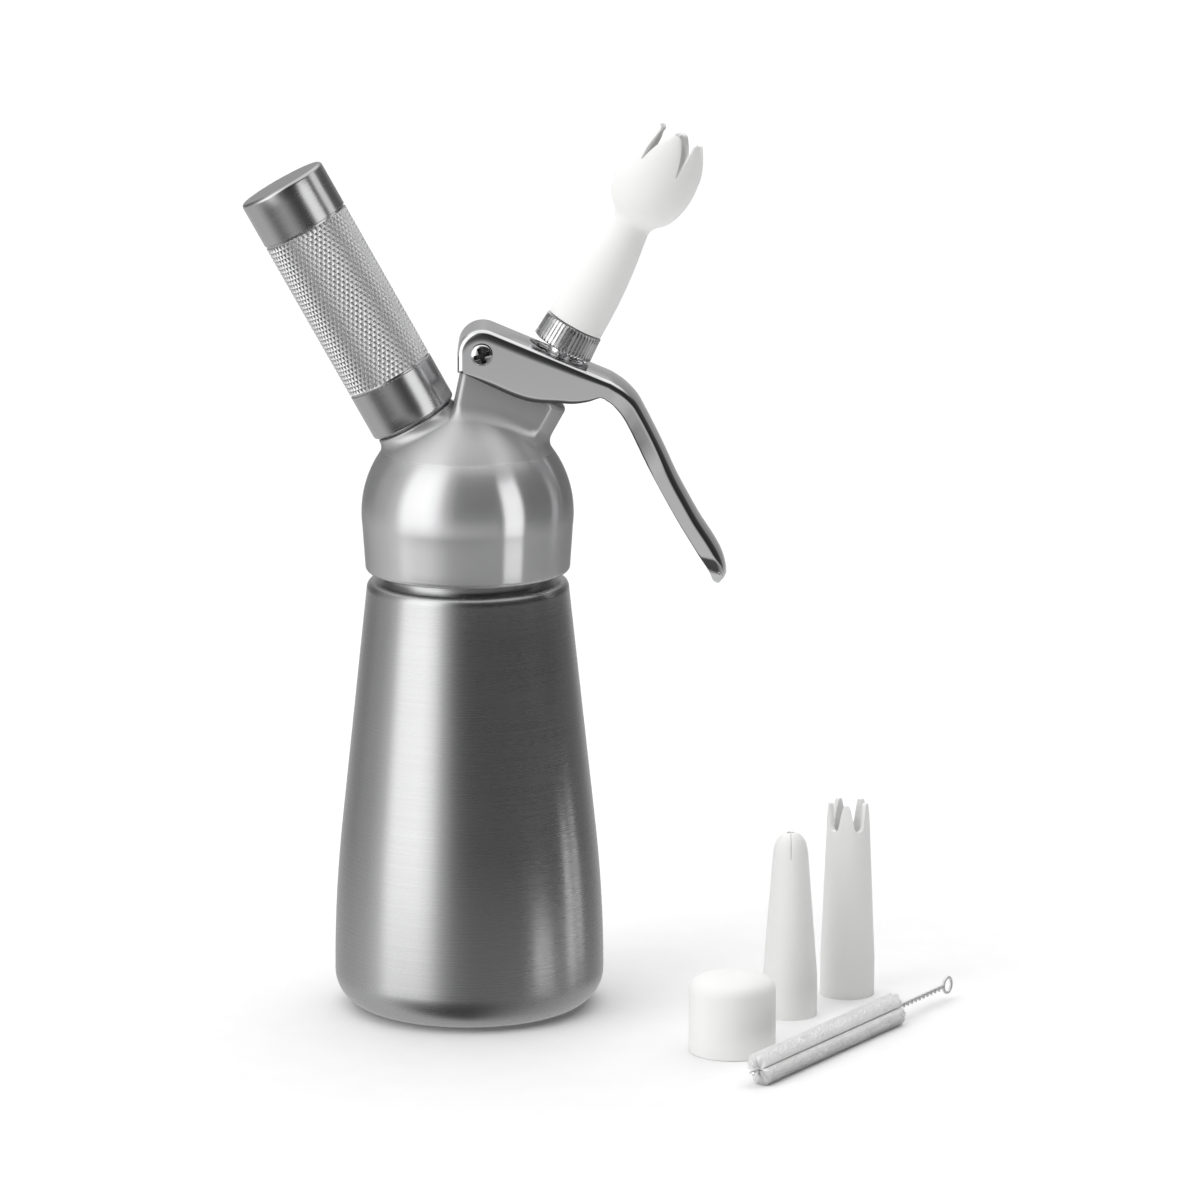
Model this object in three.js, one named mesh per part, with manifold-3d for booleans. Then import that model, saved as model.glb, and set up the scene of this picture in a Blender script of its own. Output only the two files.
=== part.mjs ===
// Whipped cream dispenser with its loose nozzles, closing cap and cleaning brush.
// Units are millimetres and degrees. The origin is the centre of the bottle's base, +Z is up,
// +X points to the lever's side and +Y away from the front.
import * as THREE from 'three';
import * as BufferGeometryUtils from 'three/addons/utils/BufferGeometryUtils.js';
import Module from 'manifold-3d';

const wasm = await Module();
wasm.setup();

// Sizes shared by all pieces
const CLEARANCE = 0.3; // gap between pieces that seat on, or pass through, each other
const OVERRUN = 2; // how far a cutting tool runs past the face that it opens
const EDGE = 0.6; // small chamfer on turned edges
const FACETS_LARGE = 38;
const FACETS_MEDIUM = 26;
const FACETS_NOZZLE = 20;
const FACETS_SMALL = 14;

// Bottle: base, long taper, small shoulder and a plain neck that carries the thread
const BOTTLE_RADIUS = 38;
const BOTTLE_HEIGHT = 122; // base to shoulder
const BOTTLE_BASE_CORNER = 10;
const BOTTLE_CURVE_HEIGHT = 42; // stretch above the base corner where the wall starts to lean in
const BOTTLE_INSET = 1.25; // the bottle's top is this much slimmer than the head's ball
const BOTTLE_SHOULDER_CORNER = 3;
const BOTTLE_WALL = 1.5;
const BOTTLE_FLOOR = 2;
const NECK_WALL = 2.6;
const NECK_HEIGHT = 21;

// Head casting: skirt, ball, gas port and the block that holds the valve and the lever's pivot
const BALL_RADIUS = 29.6;
const BALL_RISE = 19; // ball's centre above the bottle's shoulder
const HEAD_WALL = 5.6; // between the ball's equator and the thread
const SKIRT_GAP = 2.5; // between the bottle's shoulder and the skirt's rim
const SKIRT_INSET = 1; // the rim is this much slimmer than the ball
const SKIRT_CHAMFER = 1.4;
const SKIRT_BLEND_ANGLE = 6.8; // below the ball's equator, where the skirt leaves the ball
const AXIS_TILT = 29; // valve and gas port lean this far from the vertical
const VALVE_OFFSET = 0.6; // valve axis from the ball's centre, away from the port
const BLOCK_SIDE_GAP = 0.4; // between the block and each cheek of the lever
const BLOCK_END_SWELL = 1.2; // the block's round outer end has a larger radius than its half width
const BLOCK_RISE = 9.6; // top of the block above the ball, along the valve axis
const BLOCK_CHAMFER = 1.3;
const BLOCK_CORNER = 2;
const BLOCK_BACK_REACH = 6; // top of the back wall, behind the lever's pivot
const BLOCK_BACK_LEAN = 12; // the back wall leans this far from the vertical
const BLOCK_STEP_DROP = 5.8; // step under the lever's hub, below the pivot
const BLOCK_FILLET = 4;
const BLOCK_SIDE_FILLET = 5.5;
const BLEND_SINK = 1; // the foot of the blend stands this deep in the ball
const LUG_GAP = 0.6; // between the lug and the inside of the lever's hub
const LUG_ROUNDING = 1;
const PORT_BOSS_INSET = 0.8; // the boss is this much slimmer than the charger's holder
const PORT_BOSS_RISE = 0.2; // top of the boss above the ball, along the port axis
const PORT_FILLET = 3;
const CAVITY_INSET = 2.6; // the cavity is this much slimmer than the bottle's mouth
const CAVITY_STEP = 4; // straight part of the cavity above the gasket seat
const CAVITY_CROWN = 15; // thickness of the ball above the cavity
const CAVITY_TOP_RADIUS = 8;

// Gasket between the bottle's lip and the head
const GASKET_THICKNESS = 2;

// Lever and its pivot
const PIVOT_RISE = 3.117; // above the block's top, along the valve axis
const PIVOT_BEHIND = 19.14; // behind the valve axis
const WEB_SLOPE = 22.8; // the flat web falls this much towards the handle
const HUB_RADIUS = 6.8;
const SHEET = 1.5;
const LEVER_HALF_WIDTH = 10;
const HANDLE_HALF_WIDTH = 8.3;
const LEVER_CORNER = 1.6; // outside corner of the pressed channel
const WEB_CROWN = 0.7;
const LEVER_REACH = 86.4; // pivot to tip, along the web
const LEVER_DROP = 42.2; // web to tip, square to the web
const HUB_SKIRT = 7.4; // cheek below the pivot, square to the web
const END_WALL_LENGTH = 5.2; // upright wall below the hub
// The web's outer line past the flat part, as shares of the lever's reach and drop.
const WEB_LINE_SHARES = [
  [0.416, 0], [0.463, 0.019], [0.512, 0.061], [0.552, 0.123], [0.601, 0.207], [0.659, 0.311],
  [0.728, 0.442], [0.786, 0.539], [0.85, 0.642], [0.918, 0.737], [0.962, 0.81], [0.9935, 0.893],
  [1, 0.94], [0.992, 1],
];
// The cheeks' and flanges' lower edge, as shares of the same two sizes.
const LOWER_EDGE_SHARES = [
  [0.055, 0.332], [0.155, 0.336], [0.218, 0.318], [0.287, 0.264], [0.333, 0.229], [0.375, 0.176],
  [0.404, 0.124], [0.425, 0.128], [0.447, 0.137], [0.491, 0.184], [0.539, 0.263], [0.642, 0.452],
  [0.775, 0.672], [0.88, 0.83], [0.945, 0.93], [0.962, 1.06],
];
const SLOT_LENGTH = 17.5;
const SLOT_WIDTH = 13;
const SLEEVE_RADIUS = 2.2;
const SLEEVE_FLANGE_RADIUS = 3.4;
const SLEEVE_FLANGE_THICKNESS = 1.4;
const SCREW_RADIUS = 1.3;
const SCREW_HEAD_RADIUS = 3;
const SCREW_HEAD_HEIGHT = 1.7;
const SCREW_LENGTH = 13;
const RECESS_LENGTH = 3.2;
const RECESS_WIDTH = 0.9;
const RECESS_DEPTH = 1;

// Valve, along the valve axis
const STEM_RADIUS = 2.9;
const STEM_BORE = 1.6;
const STEM_BORE_RISE = 1.8; // closed end of the bore above the bushing's foot
const STEM_CROSS_HOLE = 0.9;
const STEM_THREAD_RADIUS = 3.5;
const FLANGE_SIDE_GAP = 1; // between the flange and each cheek of the lever
const FLANGE_PROUD = 0.173; // the flange's dome stands this far into the web's slot
const FLANGE_RIM = 2.1;
const FLANGE_DOME = 1.4;
const BUSHING_RADIUS = 5.6;
const BUSHING_LENGTH = 14.7;
const BUSHING_FLOOR = 6;
const BUSHING_WALL = 0.65; // round the spring
const SPRING_SIDE_GAP = 0.4;
const SPRING_WIRE = 0.45; // radius of the wire
const SPRING_TURNS = 7;
const O_RING_THICKNESS = 1.5;
const SEAL_RADIUS = 5.4;
const SEAL_THICKNESS = 3;
const NUT_ACROSS_CORNERS = 5.4; // radius over the corners
const NUT_HEIGHT = 3.3;
const VALVE_WELL = 7.3;
const VALVE_WELL_DEPTH = 16.2; // below the bushing's foot

// Knurled collar that takes the nozzles
const COLLAR_LIFT = 1.46; // above the lever's web, on the valve axis
const COLLAR_HEIGHT = 7.3;
const COLLAR_BOTTOM_RADIUS = 8.4;
const COLLAR_TOP_RADIUS = 7.95;
const COLLAR_RIBS = 48;
const COLLAR_RIB_DEPTH = 0.35;
const SPIGOT_RADIUS = 5.6;
const SPIGOT_LENGTH = 7.4;
const SPIGOT_BORE = 2.6;
const COLLAR_SEAT = 1; // web of the collar above the stem's end

// Nozzles
const NOZZLE_THREAD_DEPTH = 8.7;
const NOZZLE_WASHER_THICKNESS = 1;
const NOZZLE_WALL = 1.7;
const TULIP_BASE_RADIUS = 8.05;
const TULIP_LENGTH = 60.2;
const TULIP_NECK_RADIUS = 5.6;
const TULIP_BULB_RADIUS = 11.3;
const TULIP_TIP_RADIUS = 7.1;
const TULIP_PETALS = 6;
// The tulip's outline: heights as shares of its length, radii as shares from neck to base, from
// neck to bulb and from tip to bulb.
const TULIP_BODY_SHARES = [
  [0, 1], [0.1, 1], [0.22, 0.88], [0.32, 0.66], [0.41, 0.38], [0.49, 0.08], [0.535, 0],
];
const TULIP_BULB_SHARES = [
  [0.565, 0.16], [0.6, 0.52], [0.64, 0.76], [0.7, 0.94], [0.76, 1], [0.82, 0.96],
];
const TULIP_TIP_SHARES = [[0.88, 0.8], [0.94, 0.46], [1, 0]];
const PETAL_WALL = 1.3;
const PETAL_SLIT_DEPTH = 10;
const PETAL_SLIT_WIDTH = 3.6;
const PETAL_SLIT_ROOT = 0.5;
const PETAL_TURN = 20.5; // first slit, from the front towards the lever
const CONE_BASE_RADIUS = 7.7;
const CONE_BASE_HEIGHT = 10.5; // straight foot under the taper
const STAR_HEIGHT = 52.9;
const STAR_SHOULDER_RADIUS = 4.9;
const STAR_DOME = 5.6;
const STAR_SLITS = 6;
const STAR_SLIT_WIDTH = 0.8;
const STAR_SLIT_DEPTH = 7;
const STAR_HOLE = 1.1;
const NEEDLE_FACETS = 12; // for small holes and pins
const CROWN_HEIGHT = 56;
const CROWN_TOP_RADIUS = 5.8;
const CROWN_WALL = 1.3;
const CROWN_TEETH = 5;
const CROWN_NOTCH_DEPTH = 7.8;
const CROWN_NOTCH_WIDTH = 5;
const CROWN_NOTCH_ROOT = 2.6;
const CROWN_TURN = 28.5; // first notch, from the front towards the lever

// Closing cap for the gas port
const CAP_SLACK = 0.5; // round the port's stub
const CAP_HEIGHT = 22;
const CAP_CORNER = 3.2;
const CAP_WALL = 1.3;
const CAP_TOP_WALL = 1.8;
const CAP_CROWN = 0.5;

// Gas port and charger, along the port axis
const STUB_LENGTH = 11.2; // threaded stub above the boss
const SOCKET_SLACK = 0.9; // round the charger's neck
const PIERCER_DEPTH = 4.8; // foot of the piercer below the boss
const PIERCER_HEIGHT = 7.6;
const PIERCER_STEM_RADIUS = 1.9;
const PIERCER_STEM_LENGTH = 5.5;
const GAS_PASSAGE_RADIUS = 3.5;
const GAS_PASSAGE_LENGTH = 13; // below the piercer's foot
const PIERCER_BORE = 1.1;
const PIN_RADIUS = 0.8;
const PIN_SEAT = 2; // foot of the pin above the piercer's foot
const PIN_LENGTH = 10.4;
const PIN_POINT = 2;
const CHECK_SLEEVE_WALL = 0.7;
const CHARGER_SEAL_THICKNESS = 2;
const CHARGER_SEAL_BORE = 1.6;
const CHARGER_RADIUS = 9;
const CHARGER_NECK_RADIUS = 4.3;
const CHARGER_NECK_LENGTH = 8;
const CHARGER_SHOULDER = 7;
const CHARGER_LENGTH = 65.7;
const CHARGER_WALL = 1.6;
const CHARGER_HOLE = 1.3;
const HOLDER_WALL = 3; // round the charger
const HOLDER_THREAD_WALL = 2;
const HOLDER_GAP = 0.5; // between the boss and the holder
const HOLDER_END_GAP = 0.7; // between the charger's end and the holder
const HOLDER_BOTTOM_BAND = 14;
const HOLDER_TOP_BAND = 13.7;
const HOLDER_GROOVE_WIDTH = 0.9;
const HOLDER_GROOVE_DEPTH = 0.35;
const HOLDER_BORE_SLACK = 0.5;
const HOLDER_TOP_WALL = 4;

// Cleaning brush
const BRUSH_TURN = 57.6; // direction of the brush on the table, from +X
const BRUSH_LENGTH = 105; // tip to the start of the loop
const BRISTLE_RADIUS = 4.7;
const BRISTLE_FLAT = 0.5; // the bristles are pressed flat this deep where they lie
const BRISTLE_START = 3.6;
const BRISTLE_LENGTH = 74;
const BRISTLE_ROWS = 38;
const BRISTLES_PER_ROW = 8;
const BRISTLE_ROOT = 0.28;
const BRISTLE_CORE = 1.2;
const BRISTLE_CORE_WALL = 0.4;
const WIRE_RADIUS = 0.42;
const WIRE_TWIST_PITCH = 4.4;
const WIRE_LOOP_RADIUS = 2.2;

// Places of the loose pieces on the table
const CAP_PLACE = new THREE.Vector2(73.3, -52.2);
const STAR_PLACE = new THREE.Vector2(90.2, -14.5);
const CROWN_PLACE = new THREE.Vector2(107.1, 7.3);
const BRUSH_PLACE = new THREE.Vector2(77.8, -90);

const radians = THREE.MathUtils.degToRad;

// Sizes and stations that follow from the values above
const neckRadius = BALL_RADIUS - HEAD_WALL - CLEARANCE;
const neckBore = neckRadius - NECK_WALL;
const neckTop = BOTTLE_HEIGHT + NECK_HEIGHT;
const bottleTopRadius = BALL_RADIUS - BOTTLE_INSET;
const ballCentreZ = BOTTLE_HEIGHT + BALL_RISE;
const skirtRimZ = BOTTLE_HEIGHT + SKIRT_GAP;
const skirtRimRadius = BALL_RADIUS - SKIRT_INSET;
const gasketSeat = neckTop + GASKET_THICKNESS + 2 * CLEARANCE;
const cavityRadius = neckBore - CAVITY_INSET;
const blockHalfWidth = LEVER_HALF_WIDTH - SHEET - BLOCK_SIDE_GAP;
const blockEndRadius = blockHalfWidth + BLOCK_END_SWELL;
const lugRadius = HUB_RADIUS - SHEET - LUG_GAP;

// Frames: the valve axis leans towards the lever, the port axis away from it. Stations along
// each axis are counted from the ball's centre.
const ballCentre = new THREE.Vector3(0, 0, ballCentreZ);
const valveFrame = new THREE.Matrix4()
  .makeTranslation(0, 0, ballCentreZ)
  .multiply(new THREE.Matrix4().makeRotationY(radians(AXIS_TILT)))
  .multiply(new THREE.Matrix4().makeTranslation(VALVE_OFFSET, 0, 0));
const valveInverse = valveFrame.clone().invert();
const portFrame = new THREE.Matrix4()
  .makeTranslation(0, 0, ballCentreZ)
  .multiply(new THREE.Matrix4().makeRotationY(radians(-AXIS_TILT)));
const blockTop = BALL_RADIUS + BLOCK_RISE;
const pivotPoint = new THREE.Vector3(-PIVOT_BEHIND, 0, blockTop + PIVOT_RISE);
pivotPoint.applyMatrix4(valveFrame);
const leverFrame = new THREE.Matrix4()
  .makeTranslation(pivotPoint.x, 0, pivotPoint.z)
  .multiply(new THREE.Matrix4().makeRotationY(radians(WEB_SLOPE)));
const blockStepZ = pivotPoint.z - BLOCK_STEP_DROP;

// Station on the valve axis that lies a given height above the pivot, square to the lever's web.
function webStation(height) {
  const slant = radians(AXIS_TILT - WEB_SLOPE);
  const below = PIVOT_BEHIND * Math.sin(slant);
  return blockTop + PIVOT_RISE + (height + below) / Math.cos(slant);
}

const bushingTop = blockTop - CLEARANCE;
const bushingBottom = bushingTop - BUSHING_LENGTH;
const sealTop = bushingBottom - CLEARANCE;
const nutTop = sealTop - SEAL_THICKNESS - CLEARANCE;
const stemBoreBottom = bushingBottom + STEM_BORE_RISE;
const valveWellBottom = bushingBottom - VALVE_WELL_DEPTH;
const stemBottom = nutTop - NUT_HEIGHT - CLEARANCE;
const springPocket = BUSHING_RADIUS - BUSHING_WALL;
const springRadius = springPocket - SPRING_SIDE_GAP - SPRING_WIRE;
const flangeTop = webStation(HUB_RADIUS - SHEET) + FLANGE_PROUD;
const flangeBottom = flangeTop - FLANGE_DOME - FLANGE_RIM;
const flangeRadius = LEVER_HALF_WIDTH - SHEET - FLANGE_SIDE_GAP;
const collarBottom = webStation(HUB_RADIUS + WEB_CROWN) + COLLAR_LIFT;
const collarTop = collarBottom + COLLAR_HEIGHT;
const stemTop = collarTop - COLLAR_SEAT - CLEARANCE;
const spigotTop = collarTop + SPIGOT_LENGTH;
const nozzleSeat = collarTop + CLEARANCE;
const nozzleBore = SPIGOT_RADIUS + CLEARANCE;
const nozzleBoreDepth = SPIGOT_LENGTH + NOZZLE_WASHER_THICKNESS + CLEARANCE;

const portBossTop = BALL_RADIUS + PORT_BOSS_RISE;
const stubTop = portBossTop + STUB_LENGTH;
const piercerBottom = portBossTop - PIERCER_DEPTH;
const piercerTop = piercerBottom + PIERCER_HEIGHT;
const piercerSealTop = piercerTop + CLEARANCE + CHARGER_SEAL_THICKNESS;
const chargerTip = piercerSealTop + CLEARANCE;
const chargerEnd = chargerTip + CHARGER_LENGTH;
const pinBottom = piercerBottom + PIN_SEAT;
const pinTop = pinBottom + PIN_LENGTH;
const gasPassageBottom = piercerBottom - GAS_PASSAGE_LENGTH;
const socketRadius = CHARGER_NECK_RADIUS + SOCKET_SLACK;
const piercerRadius = socketRadius - 2 * CLEARANCE;
const holderRadius = CHARGER_RADIUS + HOLDER_BORE_SLACK + HOLDER_WALL;
const holderBottom = portBossTop + HOLDER_GAP;
const holderTop = chargerEnd + HOLDER_END_GAP + HOLDER_TOP_WALL;
const stubRadius = holderRadius - HOLDER_THREAD_WALL - CLEARANCE;
const portBossRadius = holderRadius - PORT_BOSS_INSET;
const capRadius = stubRadius + CAP_SLACK + CAP_WALL;

// Materials
const materials = {
  bottle: new THREE.MeshStandardMaterial({ color: 0xa8a8aa, roughness: 0.34, metalness: 1 }),
  head: new THREE.MeshStandardMaterial({ color: 0xc4c4c6, roughness: 0.36, metalness: 1 }),
  holder: new THREE.MeshStandardMaterial({ color: 0xbcbcbe, roughness: 0.3, metalness: 1 }),
  chrome: new THREE.MeshStandardMaterial({ color: 0xd6d6d8, roughness: 0.12, metalness: 1 }),
  steel: new THREE.MeshStandardMaterial({ color: 0xb4b4b6, roughness: 0.3, metalness: 1 }),
  brass: new THREE.MeshStandardMaterial({ color: 0xc8a050, roughness: 0.3, metalness: 1 }),
  rubber: new THREE.MeshStandardMaterial({ color: 0x303032, roughness: 0.8, metalness: 0 }),
  silicone: new THREE.MeshStandardMaterial({ color: 0xd8d8d4, roughness: 0.6, metalness: 0 }),
  plastic: new THREE.MeshStandardMaterial({ color: 0xf2f2f0, roughness: 0.45, metalness: 0 }),
};

// Turns a closed three.js geometry into a solid for joining and cutting.
function solid(geometry) {
  const bare = geometry.clone();
  bare.deleteAttribute('normal');
  bare.deleteAttribute('uv');
  const merged = BufferGeometryUtils.mergeVertices(bare, 1e-4);
  const points = merged.attributes.position.array;
  const corners = merged.index.array;
  const kept = [];
  let volume = 0;
  const a = new THREE.Vector3();
  const b = new THREE.Vector3();
  const c = new THREE.Vector3();
  for (let i = 0; i < corners.length; i += 3) {
    const [p, q, r] = [corners[i], corners[i + 1], corners[i + 2]];
    if (p === q || q === r || r === p) continue;
    kept.push(p, q, r);
    a.fromArray(points, 3 * p);
    b.fromArray(points, 3 * q);
    c.fromArray(points, 3 * r);
    volume += a.dot(b.cross(c));
  }
  if (volume < 0) kept.reverse();
  const mesh = new wasm.Mesh({
    numProp: 3,
    vertProperties: Float32Array.from(points),
    triVerts: Uint32Array.from(kept),
  });
  return new wasm.Manifold(mesh);
}

// Turns a solid back into a three.js geometry.
function geometryOf(manifold) {
  const mesh = manifold.getMesh();
  const geometry = new THREE.BufferGeometry();
  geometry.setAttribute('position', new THREE.BufferAttribute(Float32Array.from(mesh.vertProperties), 3));
  geometry.setIndex(new THREE.BufferAttribute(Uint32Array.from(mesh.triVerts), 1));
  geometry.computeVertexNormals();
  return geometry;
}

// Revolves a path of (radius, height) points about the Z axis.
function turned(path, facets = FACETS_SMALL, divisions = 3) {
  return new THREE.LatheGeometry(path.getPoints(divisions), facets).rotateX(Math.PI / 2);
}

// A plain ring or disc with a rectangular section.
function ring(inner, outer, bottom, top, facets = FACETS_SMALL) {
  const path = new THREE.Path();
  path.moveTo(inner, bottom);
  path.lineTo(outer, bottom);
  path.lineTo(outer, top);
  path.lineTo(inner, top);
  path.lineTo(inner, bottom);
  return turned(path, facets);
}

// A round bar, or a round cutting tool.
function bar(radius, bottom, top, facets = FACETS_SMALL) {
  const length = top - bottom;
  const geometry = new THREE.CylinderGeometry(radius, radius, length, facets);
  return geometry.rotateX(Math.PI / 2).translate(0, 0, bottom + length / 2);
}

// Extrudes a shape that is drawn in the XZ plane, to both sides of it.
function slab(shape, halfWidth, rounding = 0) {
  const geometry = new THREE.ExtrudeGeometry(shape, {
    depth: 2 * (halfWidth - rounding),
    bevelEnabled: rounding > 0,
    bevelThickness: rounding,
    bevelSize: rounding,
    bevelOffset: -rounding,
    bevelSegments: 3,
    curveSegments: 10,
  });
  return geometry.rotateX(Math.PI / 2).translate(0, halfWidth - rounding, 0);
}

// Joins equal rings of 3D points into a closed skin, with flat ends.
function loft(rings, endShape) {
  const count = endShape.length;
  const positions = rings.flat().flatMap((point) => point.toArray());
  const corners = [];
  for (let i = 0; i + 1 < rings.length; i += 1) {
    for (let j = 0; j < count; j += 1) {
      const next = (j + 1) % count;
      const low = i * count;
      const high = low + count;
      corners.push(low + j, low + next, high + next, low + j, high + next, high + j);
    }
  }
  const last = (rings.length - 1) * count;
  const clockwise = THREE.ShapeUtils.isClockWise(endShape);
  for (const [p, q, r] of THREE.ShapeUtils.triangulateShape(endShape, [])) {
    const [second, third] = clockwise ? [r, q] : [q, r];
    corners.push(p, third, second, last + p, last + second, last + third);
  }
  const geometry = new THREE.BufferGeometry();
  geometry.setAttribute('position', new THREE.Float32BufferAttribute(positions, 3));
  geometry.setIndex(corners);
  return geometry;
}

// Adds a named mesh to a group.
function addPiece(group, name, shape, material) {
  const geometry = shape.isBufferGeometry ? geometryOf(solid(shape)) : geometryOf(shape);
  const mesh = new THREE.Mesh(geometry, material);
  mesh.name = name;
  group.add(mesh);
  return mesh;
}

function framedGroup(frame) {
  const group = new THREE.Group();
  group.applyMatrix4(frame);
  return group;
}

function inValveFrame(geometry) {
  return solid(geometry.applyMatrix4(valveFrame));
}

function inPortFrame(geometry) {
  return solid(geometry.applyMatrix4(portFrame));
}

// Bottle

// Draws the bottle's wall from the base corner to the shoulder, moved in by inset.
function drawBottleWall(path, inset, floor, cornerRadius) {
  const radius = BOTTLE_RADIUS - inset;
  const topRadius = bottleTopRadius - inset;
  const curveStart = BOTTLE_BASE_CORNER;
  const bend = curveStart + BOTTLE_CURVE_HEIGHT / 2;
  const curveEnd = curveStart + BOTTLE_CURVE_HEIGHT;
  const top = BOTTLE_HEIGHT - BOTTLE_SHOULDER_CORNER;
  const lean = (radius - topRadius) / (top - bend);
  path.moveTo(0, floor);
  path.lineTo(radius - cornerRadius, floor);
  path.absarc(radius - cornerRadius, floor + cornerRadius, cornerRadius, -Math.PI / 2, 0, false);
  if (floor + cornerRadius < curveStart) path.lineTo(radius, curveStart);
  path.quadraticCurveTo(radius, bend, radius - lean * (curveEnd - bend), curveEnd);
  path.lineTo(topRadius, top);
}

function makeBottle() {
  const outside = new THREE.Path();
  drawBottleWall(outside, 0, 0, BOTTLE_BASE_CORNER);
  const shoulderRadius = bottleTopRadius - BOTTLE_SHOULDER_CORNER;
  outside.quadraticCurveTo(bottleTopRadius, BOTTLE_HEIGHT, shoulderRadius, BOTTLE_HEIGHT);
  outside.lineTo(neckRadius, BOTTLE_HEIGHT);
  outside.lineTo(neckRadius, neckTop - EDGE);
  outside.lineTo(neckRadius - EDGE, neckTop);
  outside.lineTo(0, neckTop);
  const inside = new THREE.Path();
  drawBottleWall(inside, BOTTLE_WALL, BOTTLE_FLOOR, BOTTLE_BASE_CORNER - BOTTLE_FLOOR);
  inside.lineTo(neckBore, BOTTLE_HEIGHT - BOTTLE_WALL);
  inside.lineTo(neckBore, neckTop + OVERRUN);
  inside.lineTo(0, neckTop + OVERRUN);
  return solid(turned(outside, FACETS_LARGE)).subtract(solid(turned(inside, FACETS_LARGE, 1)));
}

// Head casting

// The ball, from its pole down to just under the skirt's top.
function makeBall() {
  const lowest = radians(90 + SKIRT_BLEND_ANGLE);
  const rings = 14;
  const path = [];
  for (let i = 0; i <= rings; i += 1) {
    const angle = (lowest * i) / rings;
    const height = ballCentreZ + BALL_RADIUS * Math.cos(angle);
    path.push(new THREE.Vector2(BALL_RADIUS * Math.sin(angle), height));
  }
  path.push(new THREE.Vector2(0, path[rings].y));
  return solid(new THREE.LatheGeometry(path, FACETS_LARGE).rotateX(Math.PI / 2));
}

function makeSkirt() {
  const blend = radians(SKIRT_BLEND_ANGLE);
  const joinZ = ballCentreZ - BALL_RADIUS * Math.sin(blend);
  const joinRadius = BALL_RADIUS * Math.cos(blend);
  const path = new THREE.Path();
  path.moveTo(0, skirtRimZ);
  path.lineTo(skirtRimRadius - SKIRT_CHAMFER, skirtRimZ);
  path.lineTo(skirtRimRadius, skirtRimZ + SKIRT_CHAMFER);
  path.lineTo(joinRadius, joinZ);
  path.lineTo(joinRadius - SKIRT_CHAMFER, joinZ + SKIRT_CHAMFER / 2);
  path.lineTo(0, joinZ + SKIRT_CHAMFER / 2);
  return solid(turned(path, FACETS_LARGE));
}

// Direction in the XZ plane that leans from the vertical towards the lever.
function leaning(degrees) {
  return new THREE.Vector3(Math.sin(radians(degrees)), 0, Math.cos(radians(degrees)));
}

// Where two lines in the XZ plane meet.
function meeting(start, rise, otherStart, otherRise) {
  const span = otherStart.clone().sub(start);
  const share = span.x * otherRise.z - span.z * otherRise.x;
  return start.clone().addScaledVector(rise, share / (rise.x * otherRise.z - rise.z * otherRise.x));
}

// The block's walls, once round from the outer end: each has a foot, a rise up the wall and a
// normal out of it. The rises fan out from the leaning back wall to the valve axis.
function blockWalls() {
  const valveRise = leaning(AXIS_TILT);
  const backRise = leaning(BLOCK_BACK_LEAN);
  const backNormal = new THREE.Vector3(-backRise.z, 0, backRise.x);
  const sideways = new THREE.Vector3(0, 1, 0);
  const endAngle = Math.asin(blockHalfWidth / blockEndRadius);
  const endSteps = 8;
  const walls = [];
  for (let i = 0; i <= endSteps; i += 1) {
    const angle = THREE.MathUtils.lerp(-endAngle, endAngle, i / endSteps);
    const normal = new THREE.Vector3(Math.cos(angle), Math.sin(angle), 0);
    const foot = normal.clone().multiplyScalar(blockEndRadius).applyMatrix4(valveFrame);
    walls.push({ foot, rise: valveRise, normal: normal.transformDirection(valveFrame) });
  }
  const flatEnd = new THREE.Vector3(blockEndRadius * Math.cos(endAngle), 0, 0);
  const backTop = new THREE.Vector3(pivotPoint.x - BLOCK_BACK_REACH, 0, blockStepZ);
  backTop.addScaledVector(backNormal, -BLOCK_CORNER);
  const hub = meeting(flatEnd.applyMatrix4(valveFrame), valveRise, backTop, backRise);
  const reach = backTop.distanceTo(hub);
  const side = [];
  for (const share of [0.2, 0.4, 0.6, 0.8]) {
    const rise = leaning(THREE.MathUtils.lerp(AXIS_TILT, BLOCK_BACK_LEAN, share));
    const foot = hub.clone().addScaledVector(rise, reach);
    side.push({ foot: foot.addScaledVector(sideways, blockHalfWidth), rise, normal: sideways });
  }
  for (const turn of [0, 30, 60, 90]) {
    const normal = sideways.clone().multiplyScalar(Math.cos(radians(turn)));
    normal.addScaledVector(backNormal, Math.sin(radians(turn)));
    const foot = hub.clone().addScaledVector(backRise, reach);
    foot.addScaledVector(sideways, blockHalfWidth - BLOCK_CORNER);
    side.push({ foot: foot.addScaledVector(normal, BLOCK_CORNER), rise: backRise, normal });
  }
  const mirror = new THREE.Vector3(1, -1, 1);
  const otherSide = side.map((wall) => ({
    foot: wall.foot.clone().multiply(mirror),
    rise: wall.rise,
    normal: wall.normal.clone().multiply(mirror),
  }));
  return walls.concat(side, otherSide.reverse());
}

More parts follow.
